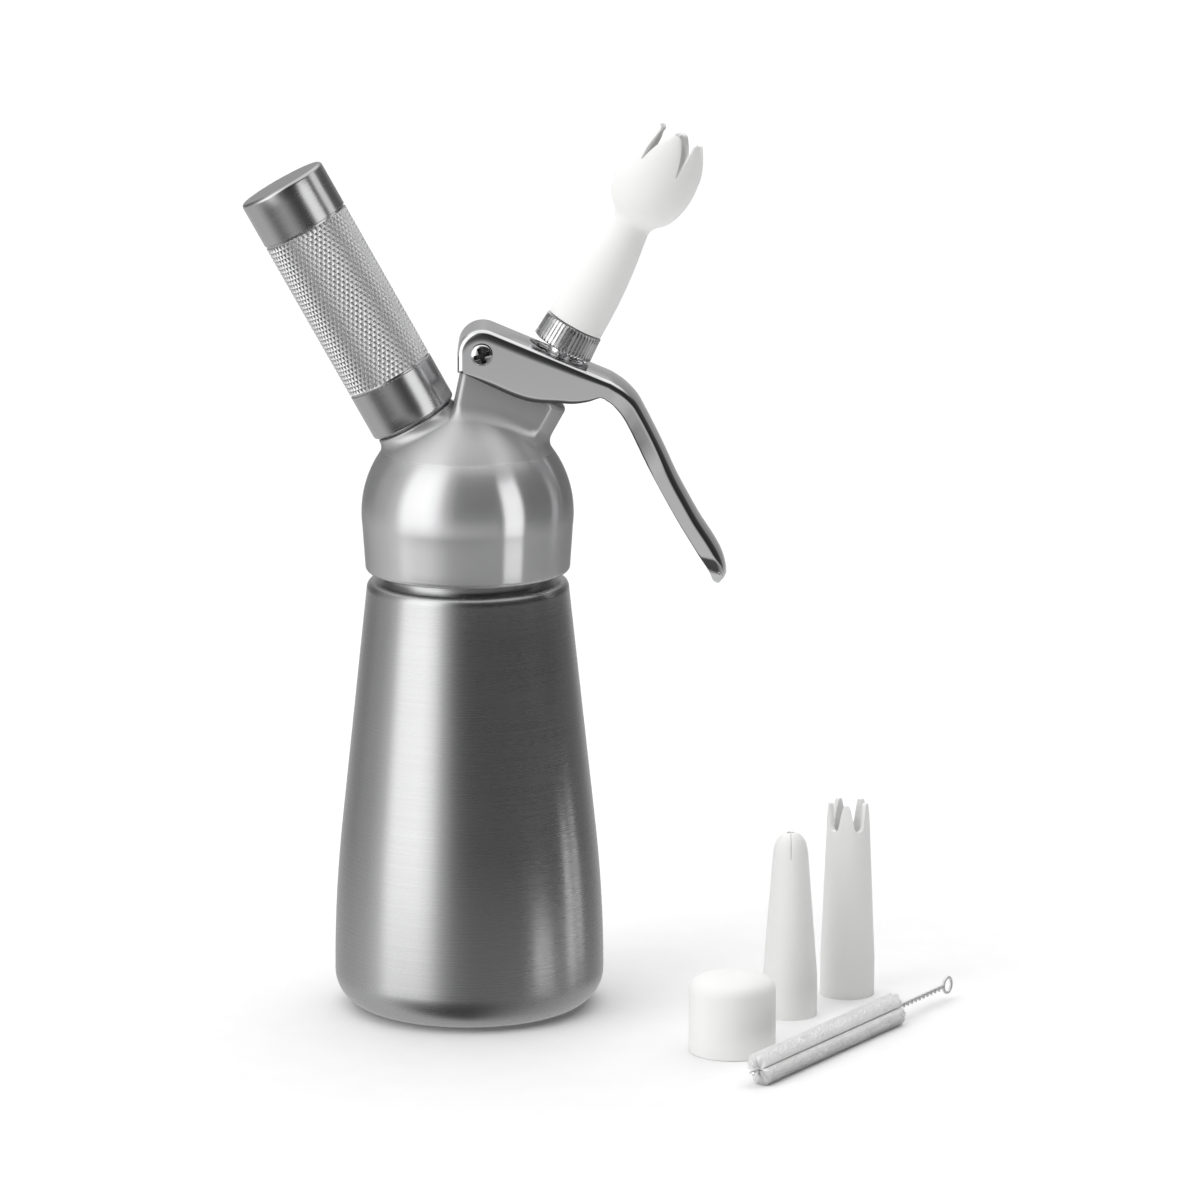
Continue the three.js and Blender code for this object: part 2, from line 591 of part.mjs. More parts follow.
// Block between the lever's cheeks: it carries the valve. A ball of the fillet's radius that
// rolls round between the walls and the large ball gives the rings of the blend.
function makeValveBlock() {
  const arcSteps = 4;
  const rings = Array.from({ length: arcSteps + 4 }, () => []);
  const axis = leaning(AXIS_TILT);
  for (const { foot, rise, normal } of blockWalls()) {
    const fillet = THREE.MathUtils.lerp(BLOCK_FILLET, BLOCK_SIDE_FILLET, Math.abs(normal.y));
    const start = foot.clone().addScaledVector(normal, fillet).sub(ballCentre);
    const along = start.dot(rise);
    const reach = BALL_RADIUS + fillet;
    const height = Math.sqrt(along * along - start.lengthSq() + reach * reach) - along;
    const centre = start.clone().addScaledVector(rise, height);
    const toBall = centre.clone().normalize().negate();
    const toWall = normal.clone().negate();
    const opening = toBall.angleTo(toWall);
    rings[0].push(toBall.clone().multiplyScalar(BLEND_SINK - BALL_RADIUS).add(ballCentre));
    for (let i = 0; i <= arcSteps; i += 1) {
      const angle = (opening * i) / arcSteps;
      const spoke = toBall.clone().multiplyScalar(Math.sin(opening - angle));
      spoke.addScaledVector(toWall, Math.sin(angle)).divideScalar(Math.sin(opening));
      rings[1 + i].push(centre.clone().addScaledVector(spoke, fillet).add(ballCentre));
    }
    const fromCentre = foot.clone().sub(ballCentre);
    const slope = rise.dot(axis);
    const rim = foot.clone();
    rim.addScaledVector(rise, (blockTop - BLOCK_CHAMFER - fromCentre.dot(axis)) / slope);
    const top = foot.clone().addScaledVector(normal, -BLOCK_CHAMFER);
    top.addScaledVector(rise, (blockTop - top.clone().sub(ballCentre).dot(axis)) / slope);
    rings[arcSteps + 2].push(rim);
    rings[arcSteps + 3].push(top);
  }
  const endShape = rings[arcSteps + 3].map((point) => {
    const local = point.clone().applyMatrix4(valveInverse);
    return new THREE.Vector2(local.x, local.y);
  });
  const step = new THREE.BoxGeometry(2 * BALL_RADIUS, BALL_RADIUS, BALL_RADIUS);
  const lugBack = pivotPoint.x - lugRadius;
  step.translate(lugBack - BALL_RADIUS, 0, blockStepZ + BALL_RADIUS / 2);
  return solid(loft(rings, endShape)).subtract(solid(step));
}

// Lug on the block for the lever's pivot.
function makeLug() {
  const foot = blockStepZ - lugRadius;
  const shape = new THREE.Shape();
  shape.moveTo(pivotPoint.x - lugRadius, foot);
  shape.lineTo(pivotPoint.x + lugRadius, foot);
  shape.lineTo(pivotPoint.x + lugRadius, pivotPoint.z);
  shape.absarc(pivotPoint.x, pivotPoint.z, lugRadius, 0, Math.PI, false);
  shape.lineTo(pivotPoint.x - lugRadius, foot);
  return solid(slab(shape, blockHalfWidth, LUG_ROUNDING));
}

function makePortBoss() {
  const reach = BALL_RADIUS + PORT_FILLET;
  const centreRadius = portBossRadius + PORT_FILLET;
  const centreHeight = Math.sqrt(reach * reach - centreRadius * centreRadius);
  const touchAngle = Math.atan2(-centreHeight, -centreRadius);
  const path = new THREE.Path();
  path.moveTo(0, BALL_RADIUS / 2);
  path.lineTo(centreRadius / 2, BALL_RADIUS / 2);
  path.absarc(centreRadius, centreHeight, PORT_FILLET, touchAngle, -Math.PI, true);
  path.lineTo(portBossRadius, portBossTop - EDGE);
  path.lineTo(portBossRadius - EDGE, portBossTop);
  path.lineTo(stubRadius, portBossTop);
  path.lineTo(stubRadius, stubTop - EDGE);
  path.lineTo(stubRadius - EDGE, stubTop);
  path.lineTo(0, stubTop);
  return inPortFrame(turned(path, FACETS_MEDIUM, 2));
}

// Threaded bore for the neck, gasket seat and the dome above it.
function makeHeadCavity() {
  const neckHole = bar(neckRadius + CLEARANCE, skirtRimZ - OVERRUN, gasketSeat, FACETS_LARGE);
  const domeTop = ballCentreZ + BALL_RADIUS - CAVITY_CROWN;
  const path = new THREE.Path();
  path.moveTo(0, gasketSeat - OVERRUN);
  path.lineTo(cavityRadius, gasketSeat - OVERRUN);
  path.lineTo(cavityRadius, gasketSeat + CAVITY_STEP);
  path.quadraticCurveTo(cavityRadius, domeTop, CAVITY_TOP_RADIUS, domeTop);
  path.lineTo(0, domeTop);
  return solid(neckHole.rotateZ(Math.PI / 2)).add(solid(turned(path, FACETS_MEDIUM)));
}

function makeHeadCasting() {
  const bushingBore = BUSHING_RADIUS + CLEARANCE;
  const valveBore = bar(bushingBore, bushingBottom - OVERRUN, blockTop + OVERRUN);
  const valveWell = bar(VALVE_WELL, valveWellBottom, bushingBottom - CLEARANCE);
  const socket = bar(socketRadius, piercerBottom - CLEARANCE, stubTop + OVERRUN);
  const gasPassage = bar(GAS_PASSAGE_RADIUS, gasPassageBottom, piercerBottom);
  const pivotBore = bar(SLEEVE_RADIUS + CLEARANCE, -LEVER_HALF_WIDTH, LEVER_HALF_WIDTH);
  pivotBore.rotateX(Math.PI / 2).translate(pivotPoint.x, 0, pivotPoint.z);
  return makeBall()
    .add(makeSkirt())
    .add(makeValveBlock())
    .add(makeLug())
    .add(makePortBoss())
    .subtract(makeHeadCavity())
    .subtract(inValveFrame(valveBore))
    .subtract(inValveFrame(valveWell))
    .subtract(inPortFrame(socket))
    .subtract(inPortFrame(gasPassage))
    .subtract(solid(pivotBore));
}

// Lever, in its own frame: origin at the pivot, +X down the web, +Z out of the web

function leverPoint([along, down]) {
  return new THREE.Vector2(along * LEVER_REACH, HUB_RADIUS - down * LEVER_DROP);
}

// Half width of the lever at a distance from the pivot: full at the hub, less along the handle,
// and rounded off at the nose.
function leverHalfWidth(along, down) {
  const narrowing = THREE.MathUtils.smoothstep(along, 0.44, 0.7);
  const straight = THREE.MathUtils.lerp(LEVER_HALF_WIDTH, HANDLE_HALF_WIDTH, narrowing);
  const nose = Math.max(0, (down - 0.8) / 0.2);
  return straight * Math.sqrt(1 - 0.8 * nose * nose);
}

// Section of the channel, square to the web: a crowned web with round corners over two sides.
function channelSection(halfWidth, corner, crown, depth, turns) {
  const points = [new THREE.Vector2(-halfWidth, -depth)];
  for (const turn of turns) {
    const angle = radians(180 - turn);
    const x = -halfWidth + corner + corner * Math.cos(angle);
    points.push(new THREE.Vector2(x, -corner + corner * Math.sin(angle)));
  }
  points.push(new THREE.Vector2(-halfWidth / 2, crown * 0.75), new THREE.Vector2(0, crown));
  const half = points.slice(0, -1).reverse();
  return points.concat(half.map((point) => new THREE.Vector2(-point.x, point.y)));
}

// A loft of channel sections along the web line. An inset gives the inside of the sheet.
function leverChannel(inset) {
  const bend = WEB_LINE_SHARES.map(leverPoint);
  const line = new THREE.SplineCurve(bend).getPoints(21);
  const turns = inset > 0 ? [45] : [0, 45, 90];
  const flat = [new THREE.Vector2(0, HUB_RADIUS), new THREE.Vector2(bend[0].x / 2, HUB_RADIUS)];
  const centres = flat.concat(line);
  const stations = inset > 0 ? centres.slice(0, -1) : centres;
  const headDepth = HUB_RADIUS + HUB_SKIRT + OVERRUN;
  const rings = stations.map((centre, i) => {
    const before = stations[Math.max(i - 1, 0)];
    const after = stations[Math.min(i + 1, stations.length - 1)];
    const forward = after.clone().sub(before).normalize();
    const out = new THREE.Vector2(-forward.y, forward.x);
    const along = centre.x / LEVER_REACH;
    const down = (HUB_RADIUS - centre.y) / LEVER_DROP;
    const halfWidth = leverHalfWidth(along, down) - inset;
    const toHandle = THREE.MathUtils.smoothstep(along, 0.42, 0.6);
    const toNose = THREE.MathUtils.smoothstep(down, 0.75, 0.98);
    const handleDepth = THREE.MathUtils.lerp(HUB_SKIRT, 2 * SHEET, toNose);
    const depth = THREE.MathUtils.lerp(headDepth, handleDepth, toHandle);
    const corner = Math.max(LEVER_CORNER - inset, EDGE / 2);
    const crown = WEB_CROWN * THREE.MathUtils.smoothstep(along, 0, 0.1);
    const section = channelSection(halfWidth, corner, crown, depth, turns);
    return section.map((point) => {
      const height = point.y - inset;
      return new THREE.Vector3(centre.x + out.x * height, point.x, centre.y + out.y * height);
    });
  });
  const endShape = channelSection(HANDLE_HALF_WIDTH, EDGE, WEB_CROWN, HUB_SKIRT, turns);
  return solid(loft(rings, endShape));
}

// The drum that the sheet is wrapped to at the hub.
function leverDrum(inset) {
  const radius = HUB_RADIUS - inset;
  const halfWidth = LEVER_HALF_WIDTH - inset;
  const corner = Math.max(LEVER_CORNER - inset, EDGE / 2);
  const path = new THREE.Path();
  path.moveTo(0, -halfWidth);
  path.lineTo(radius - corner, -halfWidth);
  path.absarc(radius - corner, corner - halfWidth, corner, -Math.PI / 2, 0, false);
  path.absarc(radius - corner, halfWidth - corner, corner, 0, Math.PI / 2, false);
  path.lineTo(0, halfWidth);
  return solid(turned(path, FACETS_MEDIUM, 2).rotateX(Math.PI / 2));
}

// The upright end wall below the hub, and the cheeks behind it, with rounded upright corners.
function leverEnd(inset) {
  const radius = HUB_RADIUS - inset;
  const halfWidth = LEVER_HALF_WIDTH - inset;
  const corner = Math.max(LEVER_CORNER - inset, EDGE / 2);
  const shape = new THREE.Shape();
  shape.moveTo(0, halfWidth);
  shape.lineTo(corner - radius, halfWidth);
  shape.absarc(corner - radius, halfWidth - corner, corner, Math.PI / 2, Math.PI, false);
  shape.absarc(corner - radius, corner - halfWidth, corner, Math.PI, 1.5 * Math.PI, false);
  shape.lineTo(0, -halfWidth);
  const geometry = new THREE.ExtrudeGeometry(shape, {
    depth: 2 * HUB_SKIRT,
    bevelEnabled: false,
    curveSegments: 2,
  });
  geometry.translate(0, 0, -2 * HUB_SKIRT);
  return solid(geometry.rotateY(radians(-WEB_SLOPE)));
}

// Side view of the lever: everything above the lower edge of the cheeks and flanges.
function leverSideView() {
  const level = new THREE.Vector2(Math.cos(radians(WEB_SLOPE)), Math.sin(radians(WEB_SLOPE)));
  const down = new THREE.Vector2(level.y, -level.x);
  const innerFoot = new THREE.Vector2()
    .addScaledVector(level, SHEET - HUB_RADIUS)
    .addScaledVector(down, END_WALL_LENGTH);
  const outerFoot = innerFoot.clone().addScaledVector(level, -HUB_RADIUS);
  const above = 3 * HUB_RADIUS;
  const shape = new THREE.Shape();
  shape.moveTo(outerFoot.x, above);
  shape.lineTo(outerFoot.x, outerFoot.y);
  shape.lineTo(innerFoot.x, innerFoot.y);
  shape.splineThru(LOWER_EDGE_SHARES.map(leverPoint));
  shape.lineTo(LEVER_REACH * 0.962, HUB_RADIUS - 1.2 * LEVER_DROP);
  shape.lineTo(LEVER_REACH * 1.1, HUB_RADIUS - 1.2 * LEVER_DROP);
  shape.lineTo(LEVER_REACH * 1.1, above);
  const geometry = new THREE.ExtrudeGeometry(shape, {
    depth: 2 * LEVER_HALF_WIDTH + 2 * OVERRUN,
    bevelEnabled: false,
    curveSegments: 2,
  });
  geometry.rotateX(Math.PI / 2).translate(0, LEVER_HALF_WIDTH + OVERRUN, 0);
  return solid(geometry);
}

// Oblong hole in the web, round the valve stem.
function makeWebSlot() {
  const axisPoint = new THREE.Vector3(0, 0, flangeTop);
  axisPoint.applyMatrix4(valveFrame).applyMatrix4(leverFrame.clone().invert());
  const half = (SLOT_LENGTH - SLOT_WIDTH) / 2;
  const shape = new THREE.Shape();
  shape.absarc(axisPoint.x - half, 0, SLOT_WIDTH / 2, Math.PI / 2, -Math.PI / 2, false);
  shape.absarc(axisPoint.x + half, 0, SLOT_WIDTH / 2, -Math.PI / 2, Math.PI / 2, false);
  const geometry = new THREE.ExtrudeGeometry(shape, {
    depth: 4 * SHEET,
    bevelEnabled: false,
    curveSegments: 8,
  });
  return solid(geometry.translate(0, 0, HUB_RADIUS - 2 * SHEET));
}

function makeLever() {
  const outside = leverChannel(0).add(leverDrum(0)).add(leverEnd(0));
  const inside = leverChannel(SHEET).add(leverDrum(SHEET)).add(leverEnd(SHEET));
  const pivotHole = bar(SLEEVE_RADIUS + CLEARANCE, -2 * LEVER_HALF_WIDTH, 2 * LEVER_HALF_WIDTH);
  const pressed = outside
    .subtract(inside)
    .intersect(leverSideView())
    .subtract(makeWebSlot())
    .subtract(solid(pivotHole.rotateX(Math.PI / 2)));
  return pressed.decompose().sort((a, b) => b.volume() - a.volume())[0];
}

// Barrel nut: it runs through both cheeks and the lug, with its flange at the back.
function makePivotSleeve() {
  const back = LEVER_HALF_WIDTH + CLEARANCE;
  const path = new THREE.Path();
  path.moveTo(SCREW_RADIUS + CLEARANCE, -back + CLEARANCE);
  path.lineTo(SLEEVE_RADIUS, -back + CLEARANCE);
  path.lineTo(SLEEVE_RADIUS, back);
  path.lineTo(SLEEVE_FLANGE_RADIUS, back);
  path.lineTo(SLEEVE_FLANGE_RADIUS, back + SLEEVE_FLANGE_THICKNESS - EDGE);
  path.lineTo(SLEEVE_FLANGE_RADIUS - EDGE, back + SLEEVE_FLANGE_THICKNESS);
  path.lineTo(SCREW_RADIUS + CLEARANCE, back + SLEEVE_FLANGE_THICKNESS);
  path.lineTo(SCREW_RADIUS + CLEARANCE, -back + CLEARANCE);
  return turned(path).rotateX(-Math.PI / 2);
}

// Round-headed screw with a cross recess, in front.
function makePivotScrew() {
  const front = LEVER_HALF_WIDTH + CLEARANCE;
  const path = new THREE.Path();
  path.moveTo(0, -front - SCREW_HEAD_HEIGHT);
  path.quadraticCurveTo(
    SCREW_HEAD_RADIUS,
    -front - SCREW_HEAD_HEIGHT,
    SCREW_HEAD_RADIUS,
    -front - SCREW_HEAD_HEIGHT / 4,
  );
  path.lineTo(SCREW_HEAD_RADIUS, -front);
  path.lineTo(SCREW_RADIUS, -front);
  path.lineTo(SCREW_RADIUS, SCREW_LENGTH - front);
  path.lineTo(0, SCREW_LENGTH - front);
  let screw = solid(turned(path).rotateX(-Math.PI / 2));
  for (const turn of [0, 90]) {
    const slot = new THREE.BoxGeometry(RECESS_LENGTH, 2 * RECESS_DEPTH, RECESS_WIDTH);
    slot.rotateY(radians(turn)).translate(0, -front - SCREW_HEAD_HEIGHT, 0);
    screw = screw.subtract(solid(slot));
  }
  return screw;
}

// Valve

function makeStem() {
  const rimTop = flangeBottom + FLANGE_RIM;
  const path = new THREE.Path();
  path.moveTo(0, stemBottom);
  path.lineTo(STEM_RADIUS - EDGE, stemBottom);
  path.lineTo(STEM_RADIUS, stemBottom + EDGE);
  path.lineTo(STEM_RADIUS, flangeBottom);
  path.lineTo(flangeRadius, flangeBottom);
  path.lineTo(flangeRadius, rimTop);
  path.quadraticCurveTo(flangeRadius - FLANGE_DOME, flangeTop, STEM_THREAD_RADIUS, flangeTop);
  path.lineTo(STEM_THREAD_RADIUS, stemTop - EDGE);
  path.lineTo(STEM_THREAD_RADIUS - EDGE, stemTop);
  path.lineTo(0, stemTop);
  const crossHole = bar(STEM_CROSS_HOLE, -2 * STEM_RADIUS, 2 * STEM_RADIUS, 8);
  crossHole.rotateX(Math.PI / 2).translate(0, 0, stemBoreBottom + STEM_CROSS_HOLE);
  return solid(turned(path, FACETS_SMALL))
    .subtract(solid(bar(STEM_BORE, stemBoreBottom, stemTop + OVERRUN)))
    .subtract(solid(crossHole));
}

function makeBushing() {
  const pocketFloor = bushingBottom + BUSHING_FLOOR;
  const path = new THREE.Path();
  path.moveTo(STEM_RADIUS + CLEARANCE, bushingBottom);
  path.lineTo(BUSHING_RADIUS, bushingBottom);
  path.lineTo(BUSHING_RADIUS, bushingTop);
  path.lineTo(springPocket, bushingTop);
  path.lineTo(springPocket, pocketFloor);
  path.lineTo(STEM_RADIUS + CLEARANCE, pocketFloor);
  path.lineTo(STEM_RADIUS + CLEARANCE, bushingBottom);
  return turned(path);
}

const stemSealSeat = bushingBottom + BUSHING_FLOOR + CLEARANCE;

function makeStemSeal() {
  const outer = springPocket - CLEARANCE;
  return ring(STEM_RADIUS + CLEARANCE, outer, stemSealSeat, stemSealSeat + O_RING_THICKNESS);
}

class Helix extends THREE.Curve {
  constructor(radius, bottom, top, turns) {
    super();
    Object.assign(this, { radius, bottom, top, turns });
  }

  getPoint(t, target = new THREE.Vector3()) {
    const angle = 2 * Math.PI * this.turns * t;
    const height = THREE.MathUtils.lerp(this.bottom, this.top, t);
    return target.set(this.radius * Math.cos(angle), this.radius * Math.sin(angle), height);
  }
}

function makeSpring() {
  const bottom = stemSealSeat + O_RING_THICKNESS + CLEARANCE + SPRING_WIRE;
  const top = flangeBottom - CLEARANCE - SPRING_WIRE;
  const path = new Helix(springRadius, bottom, top, SPRING_TURNS);
  const corners = [];
  for (let i = 0; i < 5; i += 1) {
    const angle = (2 * Math.PI * i) / 5;
    corners.push(new THREE.Vector2(SPRING_WIRE * Math.cos(angle), SPRING_WIRE * Math.sin(angle)));
  }
  const pitch = (top - bottom) / SPRING_TURNS;
  console.log(`valve spring: least gap between turns ${(pitch - 2 * SPRING_WIRE).toFixed(2)} mm`);
  return new THREE.ExtrudeGeometry(new THREE.Shape(corners), {
    steps: 8 * SPRING_TURNS,
    bevelEnabled: false,
    extrudePath: path,
  });
}

function makeNut() {
  const hexagon = bar(NUT_ACROSS_CORNERS, nutTop - NUT_HEIGHT, nutTop, 6);
  const bore = bar(STEM_RADIUS + CLEARANCE, nutTop - NUT_HEIGHT - OVERRUN, nutTop + OVERRUN);
  return solid(hexagon).subtract(solid(bore));
}

// Knurled collar

// A ribbed ring: the extruded rib outline is cut back to the collar's slight taper.
function makeCollar() {
  const shape = new THREE.Shape();
  const outer = COLLAR_BOTTOM_RADIUS + COLLAR_RIB_DEPTH;
  for (let i = 0; i < 2 * COLLAR_RIBS; i += 1) {
    const angle = (Math.PI * i) / COLLAR_RIBS;
    const radius = outer - (i % 2) * 2 * COLLAR_RIB_DEPTH;
    const x = radius * Math.cos(angle);
    const y = radius * Math.sin(angle);
    if (i === 0) shape.moveTo(x, y);
    else shape.lineTo(x, y);
  }
  const ribbed = new THREE.ExtrudeGeometry(shape, {
    depth: COLLAR_HEIGHT,
    bevelEnabled: false,
  });
  const taper = COLLAR_TOP_RADIUS / COLLAR_BOTTOM_RADIUS;
  const position = ribbed.attributes.position;
  for (let i = 0; i < position.count; i += 1) {
    const z = position.getZ(i);
    const scale = THREE.MathUtils.lerp(1, taper, z / COLLAR_HEIGHT);
    position.setXYZ(i, position.getX(i) * scale, position.getY(i) * scale, collarBottom + z);
  }
  const seat = stemTop + CLEARANCE;
  const spigot = bar(SPIGOT_RADIUS, collarBottom + EDGE, spigotTop);
  const stemBore = bar(STEM_THREAD_RADIUS + CLEARANCE, collarBottom - OVERRUN, seat);
  const bore = bar(SPIGOT_BORE, seat - OVERRUN, spigotTop + OVERRUN);
  return solid(ribbed).add(solid(spigot)).subtract(solid(stemBore)).subtract(solid(bore));
}

// Nozzles

function makeNozzleWasher() {
  const bottom = spigotTop + CLEARANCE;
  return ring(SPIGOT_BORE, nozzleBore - CLEARANCE, bottom, bottom + NOZZLE_WASHER_THICKNESS);
}

function shareRadius(low, high, share, inset) {
  return THREE.MathUtils.lerp(low, high, share) - inset;
}

function tulipProfile(inset) {
  const body = TULIP_BODY_SHARES.map(([height, share]) => [
    height,
    shareRadius(TULIP_NECK_RADIUS, TULIP_BASE_RADIUS, share, inset),
  ]);
  const bulb = TULIP_BULB_SHARES.map(([height, share]) => [
    height,
    shareRadius(TULIP_NECK_RADIUS, TULIP_BULB_RADIUS, share, inset),
  ]);
  const tip = TULIP_TIP_SHARES.map(([height, share]) => [
    height,
    shareRadius(TULIP_TIP_RADIUS, TULIP_BULB_RADIUS, share, inset),
  ]);
  return [...body, ...bulb, ...tip].map(
    ([height, radius]) => new THREE.Vector2(radius, height * TULIP_LENGTH),
  );
}

// A wedge that cuts one slit from a root up to the tip, on one side of the axis.
function radialNotch({ root, top, rootWidth, topWidth, reach, turn }) {
  const shape = new THREE.Shape();
  shape.moveTo(-topWidth / 2, top);
  shape.lineTo(-rootWidth / 2, root + rootWidth / 2);
  shape.absarc(0, root + rootWidth / 2, rootWidth / 2, Math.PI, 2 * Math.PI, false);
  shape.lineTo(topWidth / 2, top);
  const geometry = new THREE.ExtrudeGeometry(shape, {
    depth: reach,
    bevelEnabled: false,
    curveSegments: 3,
  });
  return solid(geometry.rotateX(Math.PI / 2).rotateZ(radians(turn)));
}

function makeTulipNozzle() {
  const outside = tulipProfile(0);
  const inside = tulipProfile(PETAL_WALL).filter(
    (point, i) => i % 2 === 0 && point.y > nozzleBoreDepth + NOZZLE_WALL,
  );
  const outline = new THREE.Path();
  outline.moveTo(0, 0);
  outside.forEach((point) => outline.lineTo(point.x, point.y));
  outline.lineTo(0, TULIP_LENGTH);
  const hollow = new THREE.Path();
  hollow.moveTo(0, -OVERRUN);
  hollow.lineTo(nozzleBore, -OVERRUN);
  hollow.lineTo(nozzleBore, nozzleBoreDepth);
  hollow.lineTo(TULIP_NECK_RADIUS - PETAL_WALL, nozzleBoreDepth);
  inside.forEach((point) => {
    hollow.lineTo(Math.min(point.x, point.y < 0.5 * TULIP_LENGTH ? nozzleBore : point.x), point.y);
  });
  hollow.lineTo(TULIP_TIP_RADIUS - PETAL_WALL, TULIP_LENGTH + OVERRUN);
  hollow.lineTo(0, TULIP_LENGTH + OVERRUN);
  let nozzle = solid(turned(outline, FACETS_MEDIUM)).subtract(solid(turned(hollow, FACETS_MEDIUM)));
  for (let i = 0; i < TULIP_PETALS; i += 1) {
    const notch = radialNotch({
      root: TULIP_LENGTH - PETAL_SLIT_DEPTH,
      top: TULIP_LENGTH + OVERRUN,
      rootWidth: PETAL_SLIT_ROOT,
      topWidth: PETAL_SLIT_WIDTH,
      reach: 2 * TULIP_BULB_RADIUS,
      turn: PETAL_TURN + (360 * i) / TULIP_PETALS,
    });
    nozzle = nozzle.subtract(notch);
  }
  return nozzle.translate([0, 0, nozzleSeat]);
}

function makeStarNozzle() {
  const shoulder = STAR_HEIGHT - STAR_DOME;
  const outline = new THREE.Path();
  outline.moveTo(0, 0);
  outline.lineTo(CONE_BASE_RADIUS, 0);
  outline.lineTo(CONE_BASE_RADIUS, CONE_BASE_HEIGHT);
  outline.lineTo(STAR_SHOULDER_RADIUS, shoulder);
  outline.quadraticCurveTo(STAR_SHOULDER_RADIUS * 0.85, STAR_HEIGHT, 0, STAR_HEIGHT);
  const wall = NOZZLE_WALL;
  const hollow = new THREE.Path();
  hollow.moveTo(0, -OVERRUN);
  hollow.lineTo(nozzleBore, -OVERRUN);
  hollow.lineTo(nozzleBore, NOZZLE_THREAD_DEPTH);
  hollow.lineTo(CONE_BASE_RADIUS - wall - EDGE, NOZZLE_THREAD_DEPTH);
  hollow.lineTo(STAR_SHOULDER_RADIUS - wall, shoulder);
  hollow.lineTo(0, STAR_HEIGHT - wall);
  const hole = bar(STAR_HOLE, shoulder, STAR_HEIGHT + OVERRUN, NEEDLE_FACETS);
  let nozzle = solid(turned(outline, FACETS_NOZZLE))
    .subtract(solid(turned(hollow, FACETS_NOZZLE)))
    .subtract(solid(hole));
  for (let i = 0; i < STAR_SLITS; i += 1) {
    const notch = radialNotch({
      root: STAR_HEIGHT - STAR_SLIT_DEPTH,
      top: STAR_HEIGHT + OVERRUN,
      rootWidth: STAR_SLIT_WIDTH,
      topWidth: STAR_SLIT_WIDTH,
      reach: 2 * STAR_SHOULDER_RADIUS,
      turn: (360 * i) / STAR_SLITS,
    });
    nozzle = nozzle.subtract(notch);
  }
  return nozzle;
}

function makeCrownNozzle() {
  const outline = new THREE.Path();
  outline.moveTo(0, 0);
  outline.lineTo(CONE_BASE_RADIUS, 0);
  outline.lineTo(CONE_BASE_RADIUS, CONE_BASE_HEIGHT);
  outline.lineTo(CROWN_TOP_RADIUS, CROWN_HEIGHT);
  outline.lineTo(0, CROWN_HEIGHT);
  const hollow = new THREE.Path();
  hollow.moveTo(0, -OVERRUN);
  hollow.lineTo(nozzleBore, -OVERRUN);
  hollow.lineTo(nozzleBore, NOZZLE_THREAD_DEPTH);
  hollow.lineTo(CONE_BASE_RADIUS - NOZZLE_WALL - EDGE, NOZZLE_THREAD_DEPTH);
  hollow.lineTo(CROWN_TOP_RADIUS - CROWN_WALL, CROWN_HEIGHT + OVERRUN);
  hollow.lineTo(0, CROWN_HEIGHT + OVERRUN);
  let nozzle = solid(turned(outline, FACETS_NOZZLE));
  nozzle = nozzle.subtract(solid(turned(hollow, FACETS_NOZZLE)));
  for (let i = 0; i < CROWN_TEETH; i += 1) {
    const notch = radialNotch({
      root: CROWN_HEIGHT - CROWN_NOTCH_DEPTH,
      top: CROWN_HEIGHT + OVERRUN,
      rootWidth: CROWN_NOTCH_ROOT,
      topWidth: CROWN_NOTCH_WIDTH,
      reach: 2 * CROWN_TOP_RADIUS,
      turn: CROWN_TURN + (360 * i) / CROWN_TEETH,
    });
    nozzle = nozzle.subtract(notch);
  }
  return nozzle;
}

// Closing cap: it stands on its open end.
function makeCap() {
  const path = new THREE.Path();
  const inner = capRadius - CAP_WALL;
  const ceiling = CAP_HEIGHT - CAP_TOP_WALL;
  path.moveTo(inner, 0);
  path.lineTo(capRadius - EDGE, 0);
  path.lineTo(capRadius, EDGE);
  path.lineTo(capRadius, CAP_HEIGHT - CAP_CORNER - CAP_CROWN);
  path.absarc(
    capRadius - CAP_CORNER,
    CAP_HEIGHT - CAP_CORNER - CAP_CROWN,
    CAP_CORNER,
    0,
    Math.PI / 2,
    false,
  );
  path.lineTo(0, CAP_HEIGHT);
  path.lineTo(0, ceiling);
  path.lineTo(inner - CAP_WALL, ceiling - CAP_CROWN);
  path.lineTo(inner, ceiling - CAP_CORNER);
  path.lineTo(inner, 0);
  return turned(path, FACETS_MEDIUM, 2);
}

// Gas port

function makePiercerBody() {
  const path = new THREE.Path();
  const low = piercerBottom - PIERCER_STEM_LENGTH;
  path.moveTo(PIERCER_BORE, low);
  path.lineTo(PIERCER_STEM_RADIUS, low);
  path.lineTo(PIERCER_STEM_RADIUS, piercerBottom);
  path.lineTo(piercerRadius, piercerBottom);
  path.lineTo(piercerRadius, piercerTop);
  path.lineTo(PIERCER_BORE, piercerTop);
  path.lineTo(PIERCER_BORE, low);
  return turned(path);
}

function makePin() {
  const path = new THREE.Path();
  path.moveTo(0, pinBottom);
  path.lineTo(PIN_RADIUS, pinBottom);
  path.lineTo(PIN_RADIUS, pinTop - PIN_POINT);
  path.lineTo(0, pinTop);
  return turned(path, NEEDLE_FACETS);
}

function makeCheckValve() {
  const inner = PIERCER_STEM_RADIUS + CLEARANCE;
  const bottom = piercerBottom - PIERCER_STEM_LENGTH + CLEARANCE;
  return ring(inner, inner + CHECK_SLEEVE_WALL, bottom, piercerBottom - CLEARANCE);
}

function makeChargerSeal() {
  const outer = socketRadius - CLEARANCE;
  return ring(CHARGER_SEAL_BORE, outer, piercerTop + CLEARANCE, piercerSealTop);
}

